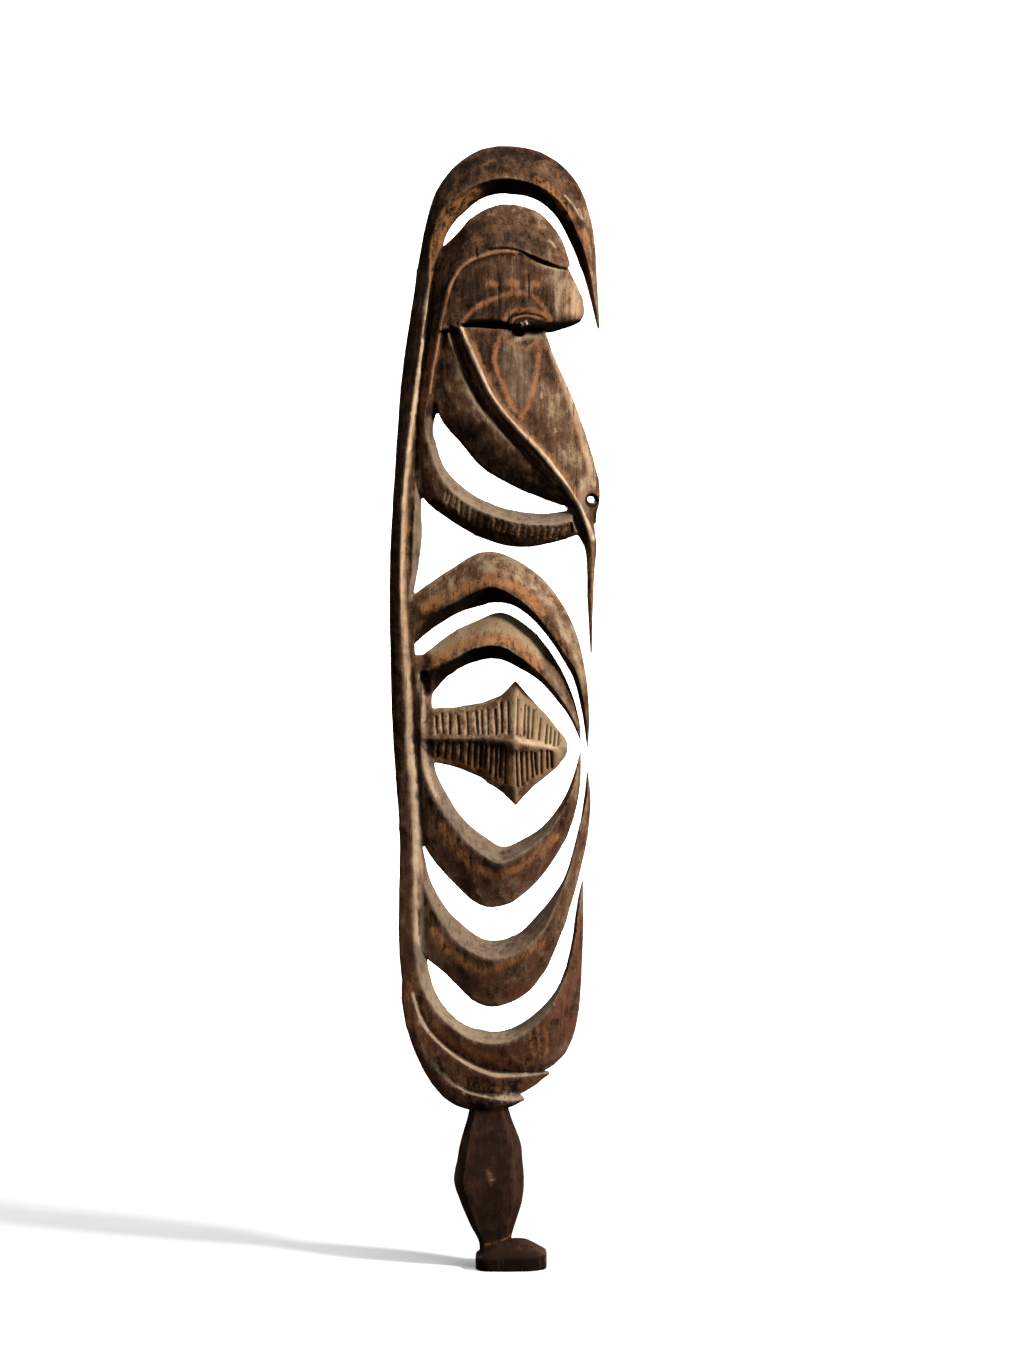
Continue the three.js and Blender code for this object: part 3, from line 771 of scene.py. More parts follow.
class Skin:
    """The carved surface as arrays, in metres."""

    def __init__(self, mesh):
        self.mesh = mesh
        self.points = np.zeros((len(mesh.vertices), 3))
        mesh.vertices.foreach_get("co", self.points.ravel())
        self.fine_detail = np.zeros(len(mesh.vertices), bool)
        self.read_normals()

    def read_normals(self):
        normals = np.zeros((len(self.mesh.vertices), 3), np.float32)
        self.mesh.vertex_normals.foreach_get("vector", normals.ravel())
        self.normals = normals.astype(float)

    def push(self, amount):
        """Moves each point inwards by its amount."""
        self.points -= self.normals * amount[:, None]

    def store(self):
        """Writes the points back to the mesh and reads how they face now."""
        self.mesh.vertices.foreach_set("co", self.points.ravel())
        self.mesh.update()
        self.read_normals()


def ramp(values, low, high):
    """0 below low, 1 above high, and a soft step in between."""
    share = np.clip((values - low) / (high - low), 0, 1)
    return share * share * (3 - 2 * share)


def line_distance(points, line, reach):
    """How far each point is from a broken line seen from the side, in metres, up to a reach."""
    flat = points[:, [0, 2]]
    distance = np.full(len(flat), reach)
    low = line.min(axis=0) - reach
    high = line.max(axis=0) + reach
    near = np.flatnonzero(((flat > low) & (flat < high)).all(axis=1))
    spots = flat[near]
    for start, end in zip(line[:-1], line[1:]):
        run = end - start
        share = np.clip(((spots - start) @ run) / (run @ run), 0, 1)
        gap = np.linalg.norm(spots - start - share[:, None] * run, axis=1)
        distance[near] = np.minimum(distance[near], gap)
    return distance


def sideways(skin):
    """1 where the wood faces either side, 0 where it faces along the plank."""
    return ramp(np.abs(skin.normals[:, 1]), *SIDE_FACING)


def incise(skin, line, width, depth):
    """Cuts a groove of that width and depth, in mm, along a line on both sides. Depth below 0 raises."""
    half = width * MM / 2
    distance = line_distance(skin.points, line, half)
    skin.push(depth * MM * (1 - (distance / half) ** 2) * sideways(skin))
    skin.fine_detail |= distance < half


skin = Skin(wood_mesh)
print("points to carve:", len(skin.points))

# %% [markdown]
# Drawn marks
#
# The lines that the carver cut on purpose are laid where the photograph shows them: the flutes of
# the diamond, the strokes on the beard, the step under the cap, the light edge in front of the ear,
# the rubbed edge of the cheek, the sunk eye and the crease at the ankle. A seeded generator makes no
# two flutes or strokes quite alike. A depth below 0 leaves a raised line.

# %% Flutes
FLUTES = [
    {"rim": 0, "strength": 1.0, "columns": [437, 443, 450, 459, 468, 477.5, 482, 488, 496, 502, 508.5]},
    {"rim": 0, "strength": 1.0, "columns": [517, 524, 528, 532, 539, 546, 550, 554, 558]},
    {"rim": 2, "strength": 0.7, "columns": [438, 446, 453, 461, 469, 475, 481, 486, 491, 496, 501, 506]},
    {"rim": 2, "strength": 1.0, "columns": [516, 521, 526, 531, 535, 541, 547, 551]},
]
FLUTE = {"width": 4.2, "depth": 2.7, "border": 0.2, "gap": 0.12, "lean": 1.5, "surface": 30}
FLUTE_UNEVEN = {
    "gap": (0, 0.08), "border": (0, 0.1), "lean": (-0.8, 0.8), "width": (0.8, 1.2), "depth": (0.7, 1.15),
}
FLUTE_LINES = []
DIAMOND_ROW = 740
DIAMOND_MIDDLE = 5
rng = np.random.default_rng(7)


def uneven(limits):
    """A seeded random number between two limits."""
    return rng.uniform(*limits)


def diamond_line(line, x):
    """Height in mm of the diamond's upper edge (0), ridge (1) or lower edge (2) at x."""
    return np.interp(x, *np.array([station[line] for station in DIAMOND["stations"]], float).T)


def cut_flutes(rim, strength, columns):
    for column in columns:
        x = seen([(column, DIAMOND_ROW)], FLUTE["surface"])[0, 0] / MM
        crest, edge = diamond_line(1, x), diamond_line(rim, x)
        start = crest + (edge - crest) * (FLUTE["gap"] + uneven(FLUTE_UNEVEN["gap"]))
        end = crest + (edge - crest) * (1 - FLUTE["border"] - uneven(FLUTE_UNEVEN["border"]))
        lean = (FLUTE["lean"] + uneven(FLUTE_UNEVEN["lean"])) * np.sign(x - DIAMOND_MIDDLE)
        width = FLUTE["width"] * uneven(FLUTE_UNEVEN["width"])
        depth = FLUTE["depth"] * strength * uneven(FLUTE_UNEVEN["depth"])
        line = np.array([(x, start), (x + lean, end)]) * MM
        incise(skin, line, width, depth)
        FLUTE_LINES.append(line)


for flutes in FLUTES:
    cut_flutes(**flutes)
print("flutes:", len(FLUTE_LINES))

# %% Beard strokes
BEARD_RIDGE = [
    (446, 491), (451, 496), (459.5, 501), (466, 507), (474, 513), (485, 517.5), (497, 520.5), (510, 523.5),
    (522, 525.5), (535, 526), (545, 526.5), (555, 527), (567, 526.5),
]
STROKE = {"count": 21, "length": 9.5, "width": 2.8, "depth": 1.4, "lean": -2.4, "surface": 35}
STROKE_UNEVEN = {"across": (-0.6, 0.6), "down": (-0.8, 0.8), "length": (0.8, 1.2), "lean": (0.5, 1.4)}


def along(line, count):
    """Evenly spaced points on a broken line."""
    line = np.array(line, float)
    run = np.concatenate([[0], np.cumsum(np.linalg.norm(np.diff(line, axis=0), axis=1))])
    places = np.linspace(0, run[-1], count)
    return np.column_stack([np.interp(places, run, line[:, axis]) for axis in range(2)])


BEARD_STROKES = []
for x, y in along(BEARD_RIDGE, STROKE["count"]):
    top = (x + uneven(STROKE_UNEVEN["across"]), y + uneven(STROKE_UNEVEN["down"]))
    length = STROKE["length"] * uneven(STROKE_UNEVEN["length"])
    tip = (top[0] + STROKE["lean"] * uneven(STROKE_UNEVEN["lean"]), top[1] + length)
    BEARD_STROKES.append([top, tip])
for stroke in BEARD_STROKES:
    incise(skin, seen(stroke, STROKE["surface"]), STROKE["width"], STROKE["depth"])
print("strokes on the beard:", len(BEARD_STROKES))

# %% Head marks
CAP_STEP = [
    (489, 248.5), (500, 247.5), (512, 248.5), (520, 251), (530, 256.5), (540, 261), (550, 264.5),
    (560, 267), (569, 268.5),
]
EAR_BAND = [
    (516, 253.5), (505, 252), (492, 253.5), (480, 257), (468, 262), (459, 270), (451, 284),
    (446, 300), (440.5, 325), (436, 350), (432, 372), (429, 392),
]
CHEEK_RIDGE = [
    (461, 329), (470, 350), (480, 372), (490, 393), (503, 412), (520, 431), (540, 451), (560, 476),
    (574, 497), (580, 507), (584.5, 517), (589, 527), (593, 538),
]
CRACKS = [
    [(476.5, 248), (477, 258)],
    [(500, 281), (499, 296), (500, 311)],
    [(528, 275), (529, 286), (528.5, 299)],
]


def carve(line, surface, width, depth, steps=0):
    """Incises pixels of the photograph on wood that stands surface mm out, as a curve of some steps."""
    course = smooth_course(line, steps) if steps else line
    incise(skin, seen(course, surface), width, depth)


carve(EAR_BAND, surface=50, width=4.5, depth=-1.2, steps=CURVE_STEPS)
carve(CHEEK_RIDGE, surface=42, width=6.5, depth=-1.4, steps=CURVE_STEPS)
carve(CAP_STEP, surface=52, width=4.4, depth=3.4, steps=CURVE_STEPS)
for crack in CRACKS:
    carve(crack, surface=50, width=2.2, depth=1.8)
print("points in marks so far:", int(skin.fine_detail.sum()))

# %% Eye
EYE = {"centre": (518.5, 331.5), "half_width": 6.5, "half_height": 4.5, "depth": 10}
LID = [(507, 322), (510, 318), (517, 315), (525, 313.5), (533, 314), (540, 316), (546, 320)]
INNER_LID = [(513, 325), (516, 320.5), (523, 318), (531, 318.5), (538, 321.5)]
EYEBALL = [(522.5, 324.5), (526, 324)]
EAR_MARK = [(450.5, 319), (447.5, 323), (450, 327)]
KNOB = {"centre": (457, 323.5), "radius": 4, "steps": 12}


def circle(centre, radius, steps):
    """A closed ring of places in pixels."""
    turns = np.linspace(0, 2 * np.pi, steps + 1)
    return np.array(centre) + radius * np.column_stack([np.cos(turns), np.sin(turns)])


def sink(skin, surface, centre, half_width, half_height, depth):
    """Presses an oval hollow into both sides. Sizes are in pixels, depths in mm."""
    middle_x, middle_z = seen([centre], surface)[0]
    across = (skin.points[:, 0] - middle_x) / (half_width * PIXEL)
    upwards = (skin.points[:, 2] - middle_z) / (half_height * PIXEL)
    inside = np.clip(1 - across**2 - upwards**2, 0, 1)
    amount = depth * MM * np.sqrt(inside) * sideways(skin)
    skin.points[:, 1] -= np.sign(skin.points[:, 1]) * amount
    skin.fine_detail |= inside > 0


sink(skin, surface=BROW_HALF, **EYE)
carve(LID, surface=BROW_HALF, width=3.0, depth=1.7, steps=CURVE_STEPS)
carve(INNER_LID, surface=BROW_HALF, width=2.6, depth=1.2, steps=CURVE_STEPS)
carve(EYEBALL, surface=BROW_HALF, width=6, depth=-3.0)
carve(circle(**KNOB), surface=BROW_HALF, width=2.8, depth=1.8)
carve(EAR_MARK, surface=BROW_HALF, width=2.4, depth=1.4, steps=3)
print("points in marks so far:", int(skin.fine_detail.sum()))

# %% Deeper hollows
ROOT_POCKET = [(423.5, 675), (426, 684), (427, 693)]
HOOK_HOLLOW = [(567, 806), (564, 820), (559.5, 836)]
TIP_NOTCH = [(571, 524), (572, 532)]
LEG_HOLLOW = [(490, 1171), (491.5, 1178)]
ANKLE_CREASE = [(482, 1246.5), (490, 1245), (500, 1242), (508, 1239), (513, 1236.5)]
TOP_FACET = [(498, 168), (515, 168.5), (530, 172), (545, 181), (558, 190), (571, 203), (581, 219)]
HOLE_CENTRE = (591.3, 501.3)
HOLE_SURFACE = 8
HOLE_FUNNEL = {"centre": HOLE_CENTRE, "half_width": 7, "half_height": 7.6, "depth": 4.5}
HOLE_EDGE = {"centre": HOLE_CENTRE, "radius": 7.8, "steps": 14}
carve(ROOT_POCKET, surface=18, width=13, depth=8)
carve(HOOK_HOLLOW, surface=34, width=9, depth=2.6)
carve(LEG_HOLLOW, surface=40, width=9, depth=1.6)
carve(ANKLE_CREASE, surface=40, width=3, depth=1.4)
carve(TIP_NOTCH, surface=20, width=4, depth=2)
carve(TOP_FACET, surface=35, width=12, depth=-1.4, steps=CURVE_STEPS)
carve(circle(**HOLE_EDGE), surface=HOLE_SURFACE, width=3.4, depth=-1.0)
sink(skin, surface=HOLE_SURFACE, **HOLE_FUNNEL)
skin.store()
print("points in marks:", int(skin.fine_detail.sum()), "of", len(skin.points))

# %% [markdown]
# Tool marks
#
# An adze leaves shallow dishes side by side, with low cusps between them. The depth of a dish grows
# with the square of the distance from its middle, so the distance to the nearest of many scattered
# middles, squared, gives them all at once. Two sizes of dish look less regular than one. The marks
# are weaker on the edges and fade out at the thin tips, which have no wood to spare. One last push
# outwards gives back what smoothing took, and the underside of the foot is kept flat.

# %% Facets
ADZE = [
    {"spacing": 0.026, "stretch": 1.5, "seed": 11, "depth": 1.5},
    {"spacing": 0.011, "stretch": 1.7, "seed": 12, "depth": 0.55},
]
LEVEL = 0.6
DISH_REACH = 0.7
CUSP_LIMIT = 1.6
EDGE_SHARE = 0.3
TIP_SHELTER = (0.01, 0.06)
FLAT_FOOT = 1.2
SMOOTHED_AWAY = -0.4


def scattered(points, spacing, seed):
    """One random point out of each cell of a grid of that spacing."""
    order = np.random.default_rng(seed).permutation(len(points))
    shuffled = points[order]
    _, first = np.unique(np.floor(shuffled / spacing).astype(int), axis=0, return_index=True)
    return shuffled[first]


def nearest(points, middles):
    """Index of the nearest middle to each point, and how far it is."""
    tree = kdtree.KDTree(len(middles))
    for index, middle in enumerate(middles):
        tree.insert(middle, index)
    tree.balance()
    found = [tree.find(point) for point in points]
    return np.array([hit[1] for hit in found]), np.array([hit[2] for hit in found])


def dishes(points, spacing, stretch, seed):
    """0 in the middle of each dish, about 1 at the cusps and never above their limit."""
    space = points * np.array([1, 1, 1 / stretch])
    _, distance = nearest(space, scattered(space, spacing, seed))
    return np.clip((distance / (DISH_REACH * spacing)) ** 2, 0, CUSP_LIMIT)


def tip_of(shape, end):
    """The tip of a blade and the middle of the station before it, at its start (0) or end (-1)."""
    stations = np.array(shape["stations"], float)
    return stations[end].mean(axis=0), stations[1 if end == 0 else -2].mean(axis=0)


TIPS = [
    tip_of(BACK, 0), tip_of(BACK, -1), tip_of(INNER_RUN, 0), tip_of(INNER_RUN, -1),
    tip_of(UPPER_HOOK, -1), tip_of(LOWER_HOOK, -1), tip_of(FACE_RUN, -1),
]
give = EDGE_SHARE + (1 - EDGE_SHARE) * sideways(skin)
for tip, _ in TIPS:
    away = np.linalg.norm(skin.points[:, [0, 2]] - tip * MM, axis=1)
    give *= ramp(away, *TIP_SHELTER)
for cut_size in ADZE:
    pattern = dishes(skin.points, cut_size["spacing"], cut_size["stretch"], cut_size["seed"])
    skin.push(cut_size["depth"] * MM * give * (LEVEL - pattern))
skin.push(SMOOTHED_AWAY * MM * give)
skin.points[skin.points[:, 2] < FLAT_FOOT * MM, 2] = 0
print("share of a full mark, on average:", round(float(give.mean()), 2))

# %% [markdown]
# Tips
#
# The hooks run out into thin points, and a voxel skin loses the last stretch of a point that is
# thinner than a voxel. A carver can't put wood back, but we can draw what is left of the tip out to
# where it ends, most at the very end and less and less towards the thicker wood.

# %% Draw out the tips
TIP_REACH = 0.055
TIP_RADIUS = 0.0032
TIP_SPREAD = 0.12
CORNER_REACH = 0.014
CORNER_SPREAD = 0.8
DIAMOND_CORNERS = [((5, 779), (5, 740)), ((5, 615), (5, 650))]


def draw_out(skin, tip, inside, reach=TIP_REACH, spread_out=TIP_SPREAD):
    """Pulls the worn end of a point to its true tip. Both places are (x, z) in mm."""
    tip, inside = (np.array([x, 0, z]) * MM for x, z in (tip, inside))
    direction = (tip - inside) / np.linalg.norm(tip - inside)
    offset = skin.points - tip
    along_tip = offset @ direction
    aside = np.linalg.norm((offset - along_tip[:, None] * direction)[:, [0, 2]], axis=1)
    near = (along_tip > -reach) & (along_tip < 0) & (aside < TIP_RADIUS - spread_out * along_tip)
    lost = -along_tip[near].max()
    skin.points[near] += direction * (lost * ramp(along_tip[near], -reach, -lost))[:, None]
    return lost / MM


for tip, inside in TIPS:
    print("tip drawn out by", round(draw_out(skin, tip, inside), 1), "mm")
for tip, inside in DIAMOND_CORNERS:
    draw_out(skin, tip, inside, CORNER_REACH, CORNER_SPREAD)
skin.store()

# %% [markdown]
# Keep it light
#
# The skin now has several hundred thousand even triangles. Flat wood needs far fewer than a ridge
# or a crack, so a Decimate modifier collapses the ones that add nothing. A vertex group makes the
# drawn marks the last to go.

# %% Decimate
TRIANGLES = 190_000
MARK_WEIGHT = 0.5

carrier = bpy.data.objects.new("carrier", skin.mesh)
bpy.context.scene.collection.objects.link(carrier)
plain_wood = carrier.vertex_groups.new(name="plain wood")
plain_wood.add(np.flatnonzero(~skin.fine_detail).tolist(), 1.0, "REPLACE")
plain_wood.add(np.flatnonzero(skin.fine_detail).tolist(), MARK_WEIGHT, "REPLACE")
skin.mesh.calc_loop_triangles()
if len(skin.mesh.loop_triangles) > TRIANGLES:
    decimate = carrier.modifiers.new("lighten", "DECIMATE")
    decimate.ratio = TRIANGLES / len(skin.mesh.loop_triangles)
    decimate.vertex_group = plain_wood.name
    skin.mesh = evaluated_mesh(carrier)
discard(carrier)
final = Skin(skin.mesh)
lowest, highest = (np.array(corner) for corner in cad_box)
final.points = np.clip(final.points, lowest, highest)
final.store()
final.mesh.shade_smooth()
print("final mesh:", len(final.mesh.polygons), "faces")

# %% [markdown]
# Where the wood is worn, dirty or painted, and where light and shade are painted
#
# The finish has to know the shape. Ridges are rubbed light, and hollows are painted dark, as grime and as
# shade. Bevels that look up have a pale, dusty skin, and wood that looks down is painted nearly black, as
# shade.
# The cuts are painted black as shade, a few glints are painted highlights and the neck strip is partly
# painted light. Worn ochre lines and rust-brown stains follow the carving. Each of these is one number per
# point, stored on the mesh as an attribute that the material reads.
#
# Most of them are drawn. A row holds the strength, the line, the depth of the wood under it and the
# width of the stroke, and where strokes overlap the strongest one counts.

# %% Ridges and hollows
FINE_PASSES = 4
BROAD_PASSES = 40
FACING_PASSES = 12
RIDGE = [((0.05, 0.5), 0.5), ((0.6, 3.0), 0.7)]
HOLLOW = [((0.05, 0.4), 0.6), ((0.5, 3.0), 0.6)]


def neighbour_mean(values, edges, passes):
    """Values averaged with their neighbours' again and again."""
    count = np.bincount(edges.ravel(), minlength=len(values))[:, None]
    for _ in range(passes):
        total = np.zeros_like(values)
        for axis in range(values.shape[1]):
            total[:, axis] += np.bincount(edges[:, 0], values[edges[:, 1], axis], len(values))
            total[:, axis] += np.bincount(edges[:, 1], values[edges[:, 0], axis], len(values))
        values = 0.5 * values + 0.5 * total / count
    return values


def bulge(skin, edges, passes):
    """How far each point stands proud of the wood around it, in mm. Hollows are below 0."""
    mean = neighbour_mean(skin.points.copy(), edges, passes)
    return ((skin.points - mean) * skin.normals).sum(axis=1) / MM


def relief(fine, broad, rows):
    """Fine and broad bulges as one number. Each row has the limits of its step in mm and its share."""
    return sum(share * ramp(size, *limits) for size, (limits, share) in zip((fine, broad), rows))


def store_attribute(name, values):
    values = np.clip(values, 0, 1)
    attribute = final.mesh.attributes.new(name, "FLOAT", "POINT")
    attribute.data.foreach_set("value", values.astype(np.float32))
    print(name, "mean", round(float(values.mean()), 3))


mesh_edges = np.zeros((len(final.mesh.edges), 2), np.int32)
final.mesh.edges.foreach_get("vertices", mesh_edges.ravel())
fine = bulge(final, mesh_edges, FINE_PASSES)
broad = bulge(final, mesh_edges, BROAD_PASSES)
facing = neighbour_mean(final.normals.copy(), mesh_edges, FACING_PASSES)[:, 2]
store_attribute("ridge", relief(fine, broad, RIDGE))
store_attribute("hollow", relief(-fine, -broad, HOLLOW))
side_on = sideways(final)

# %% Strokes of colour
FLUTE_REACH = 0.003
FINE_ROWS = 60
BEVEL_REACH = 0.02
BEVEL_EDGE = (1.05, 1.35)
STROKE_SOFT = 1.6


def stroke_mask(line, depth, width, soft=STROKE_SOFT):
    """1 along a drawn line of that width in pixels, fading to 0 at soft times its half width."""
    half = width * PIXEL / 2
    course = seen(smooth_course(line, CURVE_STEPS), depth)
    distance = line_distance(final.points, course, soft * half)
    return 1 - ramp(distance, (2 - soft) * half, soft * half)


def bevel_mask(shape, first, last):
    """1 on the strip between a blade's ridge and its inner edge, from one station to another."""
    course = smooth_course(shape["stations"], FINE_ROWS).reshape(-1, 3, 2) * MM
    course = course[first * FINE_ROWS:last * FINE_ROWS + 1]
    ridge_line, inner_line = course[:, 1], course[:, 2]
    middle = (ridge_line + inner_line) / 2
    width = np.linalg.norm(ridge_line - inner_line, axis=1)
    box_low, box_high = middle.min(axis=0) - BEVEL_REACH, middle.max(axis=0) + BEVEL_REACH
    flat = final.points[:, [0, 2]]
    close = np.flatnonzero(((flat > box_low) & (flat < box_high)).all(axis=1))
    index, _ = nearest(np.insert(flat[close], 1, 0, axis=1), np.insert(middle, 1, 0, axis=1))
    off_ridge = np.linalg.norm(flat[close] - ridge_line[index], axis=1)
    off_inner = np.linalg.norm(flat[close] - inner_line[index], axis=1)
    mask = np.zeros(len(flat))
    mask[close] = 1 - ramp((off_ridge + off_inner) / (width[index] + MM), *BEVEL_EDGE)
    return mask


def strokes(*rows):
    """Masks of lines. A row has strength, line, depth of its wood in mm and width in pixels."""
    return [(strength, stroke_mask(line, depth, width)) for strength, line, depth, width in rows]


def alike(strength, lines, depth, width):
    """Masks of several lines of one kind."""
    return strokes(*((strength, line, depth, width) for line in lines))


def bevels(*rows):
    """Masks of bevels. A row has strength, blade, first station and last station."""
    return [(strength, bevel_mask(shape, first, last)) for strength, shape, first, last in rows]


def strongest(masks):
    total = np.zeros(len(final.points))
    for strength, mask in masks:
        total = np.maximum(total, strength * mask)
    return total


def flute_masks(strengths, offset, solid, gone):
    """Masks along the flutes, solid and gone at those distances. All places are in metres."""
    gaps = [line_distance(final.points, line - np.array(offset), FLUTE_REACH) for line in FLUTE_LINES]
    return [(strength, 1 - ramp(gap, solid, gone)) for strength, gap in zip(strengths, gaps)]


# %% Dusty bevels
CHEEK_DUST = [(516, 357), (519, 375), (521, 392)]
dusty = strongest(
    bevels(
        (1.0, BACK, 17, 25), (0.75, INNER_RUN, 11, 19), (0.75, LOWER_HOOK, 1, 9),
        (0.85, HEAD_RUN, 11, 17), (0.35, HEAD_RUN, 10, 11), (0.75, SMALL_LEAF, 0, 4),
        (0.85, LEAF, 1, 7), (0.95, LOWEST_LEAF, 1, 6), (0.3, JAW, 1, 7),
    )
    + strokes((0.4, CHEEK_DUST, 42, 26))
)
store_attribute("dusty", dusty)

# %% Worn edges and painted highlights
FLUTE_LIP = {"offset": (0.0019, 0), "solid": 0.0004, "gone": 0.0016}
LIP_WEAR = {"above": 0.35, "below": 0.12}
DIAMOND_CREST = 0.699
SCRATCHES = [
    [(541, 392), (541, 398)],
    [(556, 432), (559, 422)],
    [(566, 470), (567, 475)],
]
# The neck strip is rubbed pale, and its paleness is partly painted light where the head shades it.
NECK_STRIP = [
    (428, 290), (425.5, 310), (423, 340), (419.5, 370), (415.5, 400), (412, 425), (409, 450),
]
LEG_CHIP = [(488, 1181), (495, 1180)]
SPINE_STRIP = [
    (419, 372), (415, 400), (411, 430), (408, 460), (405.5, 480), (404, 500), (403, 540), (402.5, 560),
    (403, 600), (404.5, 625), (406, 650), (408, 680), (409.5, 710), (410, 740), (412, 760),
]
LOW_STRIP = [
    (410, 735), (412, 760), (414, 780), (415.5, 800), (417, 830), (417.5, 870), (417.5, 910), (418, 940),
]
INNER_STRIP = [(419.5, 684), (423, 700), (423, 720), (423.3, 740), (425, 760), (430, 780), (436, 797)]
NOSE_EDGE = [(552, 352), (560, 372), (570, 400), (580, 430), (588, 460), (594, 485)]
JAW_EDGE = [
    (462, 386), (473, 401), (482, 411), (494, 424), (509, 438), (525, 453), (543, 471), (558, 486),
]
JAW_LINE = [(540, 466), (553, 480), (566, 494)]
# EYE_GLINTS and GLINT are painted highlights: glints in the eye and in the nose hole.
EYE_GLINTS = [[(521.5, 323), (523, 327)], [(526.5, 321.5), (527.5, 324)]]
EYE_CUP = [(519, 338), (529, 335), (540, 337)]
GLINT = [(593.5, 502.5), (595.5, 503)]
TOP_STREAKS = [
    [(565, 195), (573, 204), (581, 217)],
    [(579, 208), (583, 218)],
    [(549, 241), (553, 244), (556, 247)],
]
BROW_FRONT = [(573, 284), (577, 298), (574, 310)]
MUZZLE = [(588, 480), (581, 497), (584, 512)]
DIAMOND_BAND = [(520, 740), (532, 743), (545, 745), (560, 752)]
DIAMOND_POST = [(516, 690), (516.5, 715), (516, 740), (516, 770), (516, 800)]
STROKE_WEAR = rng.uniform(0.3, 0.75, len(BEARD_STROKES))
HOOK_LIMBS = [
    [(520, 577), (540, 590), (556, 613), (572, 648), (584, 690)],
    [(516, 632), (534, 650), (552, 678), (570, 712)],
]
lip_wear = [LIP_WEAR["above" if line[:, 1].mean() > DIAMOND_CREST else "below"] for line in FLUTE_LINES]
# Mostly rubbed edges, with painted highlights: the glints and part of the neck strip.
wear_and_highlights = strongest(
    strokes(
        (0.75, NECK_STRIP, 34, 3.4), (0.5, SPINE_STRIP, 18, 5.2), (0.62, LOW_STRIP, 16, 8.5),
        (0.6, INNER_STRIP, 20, 5), (1.0, CHEEK_RIDGE, 42, 4.6), (0.22, EAR_BAND, 50, 3),
        (0.55, NOSE_EDGE, 10, 6), (0.16, JAW_EDGE, 40, 5), (0.6, JAW_LINE, 34, 2),
        (0.3, BROW_FRONT, 30, 10), (0.3, EYE_CUP, 42, 6), (0.9, GLINT, 8, 2.5), (0.4, MUZZLE, 12, 9),
        (0.55, DIAMOND_BAND, 40, 5), (0.3, DIAMOND_POST, 45, 5), (0.15, LEG_CHIP, 40, 1.6),
    )
    + strokes(*((wear, stroke, STROKE["surface"], 1.4) for wear, stroke in zip(STROKE_WEAR, BEARD_STROKES)))
    + alike(0.14, HOOK_LIMBS, 30, 7)
    + alike(0.7, SCRATCHES, 40, 1.2)
    + alike(0.9, EYE_GLINTS, 50, 1.5)
    + alike(0.4, TOP_STREAKS, 35, 2)
    + bevels((0.12, BACK, 18, 24), (0.2, LEAF, 1, 7), (0.2, LOWEST_LEAF, 1, 6))
    + flute_masks(lip_wear, **FLUTE_LIP)
)
store_attribute("wear_and_highlights", wear_and_highlights)

# %% Painted shade in the cuts
FLUTE_BED = {"offset": (0, 0), "solid": 0.0005, "gone": 0.0018}
FLUTE_SHADE = 0.75
SPINE_GROOVE = [(421, 680), (419, 720), (418.5, 760), (421, 800), (423, 850)]
DIAMOND_STEP = [(431, 712), (431.5, 740), (431, 765)]
CHEEK_GROOVE = [
    (449, 345), (461, 370), (474, 393), (486, 413), (502, 431), (519, 450), (538, 469), (558, 487),
    (568, 497),
]
PUPIL = [(514, 332.5), (522, 331)]
NOSE_SHADE = [(572, 504), (577, 515), (581, 529)]
STUMP_DARK = [(595, 514), (596, 520)]
FUNNEL_DARK = circle(HOLE_CENTRE, 5, 12)
# Painted shade: the cuts, steps, cracks, grooves, the pupil and the nose hole's funnel are painted black.
cut_shade = strongest(
    strokes(
        (0.85, CAP_STEP, 52, 2.2), (0.8, SPINE_GROOVE, 14, 4.5), (0.6, DIAMOND_STEP, 18, 3),
        (0.85, CHEEK_GROOVE, 38, 4), (1.0, PUPIL, 50, 6), (0.55, LID, BROW_HALF, 1.6),
        (0.5, INNER_LID, BROW_HALF, 1.2), (0.75, circle(**KNOB), BROW_HALF, 1.8),
        (0.6, EAR_MARK, BROW_HALF, 1.6), (0.75, NOSE_SHADE, 20, 9), (0.7, STUMP_DARK, 6, 6),
        (0.9, FUNNEL_DARK, HOLE_SURFACE, 3.6),
    )
    + alike(0.75, CRACKS, 50, 1.6)
    + flute_masks([FLUTE_SHADE] * len(FLUTE_LINES), **FLUTE_BED)
)
store_attribute("cut_shade", cut_shade)

# %% Ochre
BROW_ARC = [
    (463, 322), (470, 313), (480, 305), (490, 300), (500, 296), (510, 293.5), (520, 293), (530, 295),
    (540, 302), (547, 312), (552, 320),
]
BROW_PATCHES = [
    [(488, 283), (492, 282.5), (495, 285)], [(508, 282), (513, 281), (517, 284), (514, 289)],
    [(529, 285), (533, 283), (538, 284.5)],
]
EYE_ARC = [(505, 320), (508, 314), (513, 310.5), (520, 309.5), (530, 310), (540, 313), (547, 319)]
CHEEK_LEFT = [(500, 335), (496, 350), (495, 362), (499, 375), (504, 388), (510, 402), (517, 413), (522, 418)]
CHEEK_RIGHT = [(522, 418), (528, 405), (533, 390), (537, 370), (539, 350), (538, 337)]
CHEEK_CUP = [(505, 337), (512, 344), (522, 348), (532, 345), (538, 340)]
NOSE_STRIP = [(545, 345), (553, 360), (560, 378), (570, 405), (578, 430), (585, 455), (590, 478)]
CHEEK_STRIP = [
    (466, 332), (476, 352), (487, 377), (497, 397), (510, 415), (527, 433), (546, 452), (565, 474),
    (583, 503),
]
HOLE_RING = [(582, 503), (583.5, 495), (588, 490.5), (594, 490), (598, 494)]
FLAMES = [
    [(530, 1030), (532, 1044), (535, 1058)],
    [(537, 1022), (539, 1040), (541, 1058)],
    [(544, 1028), (547, 1044), (545, 1062)],
]
INNER_OCHRE = [(511, 323), (515, 318), (523, 316), (532, 316.5), (541, 319.5)]
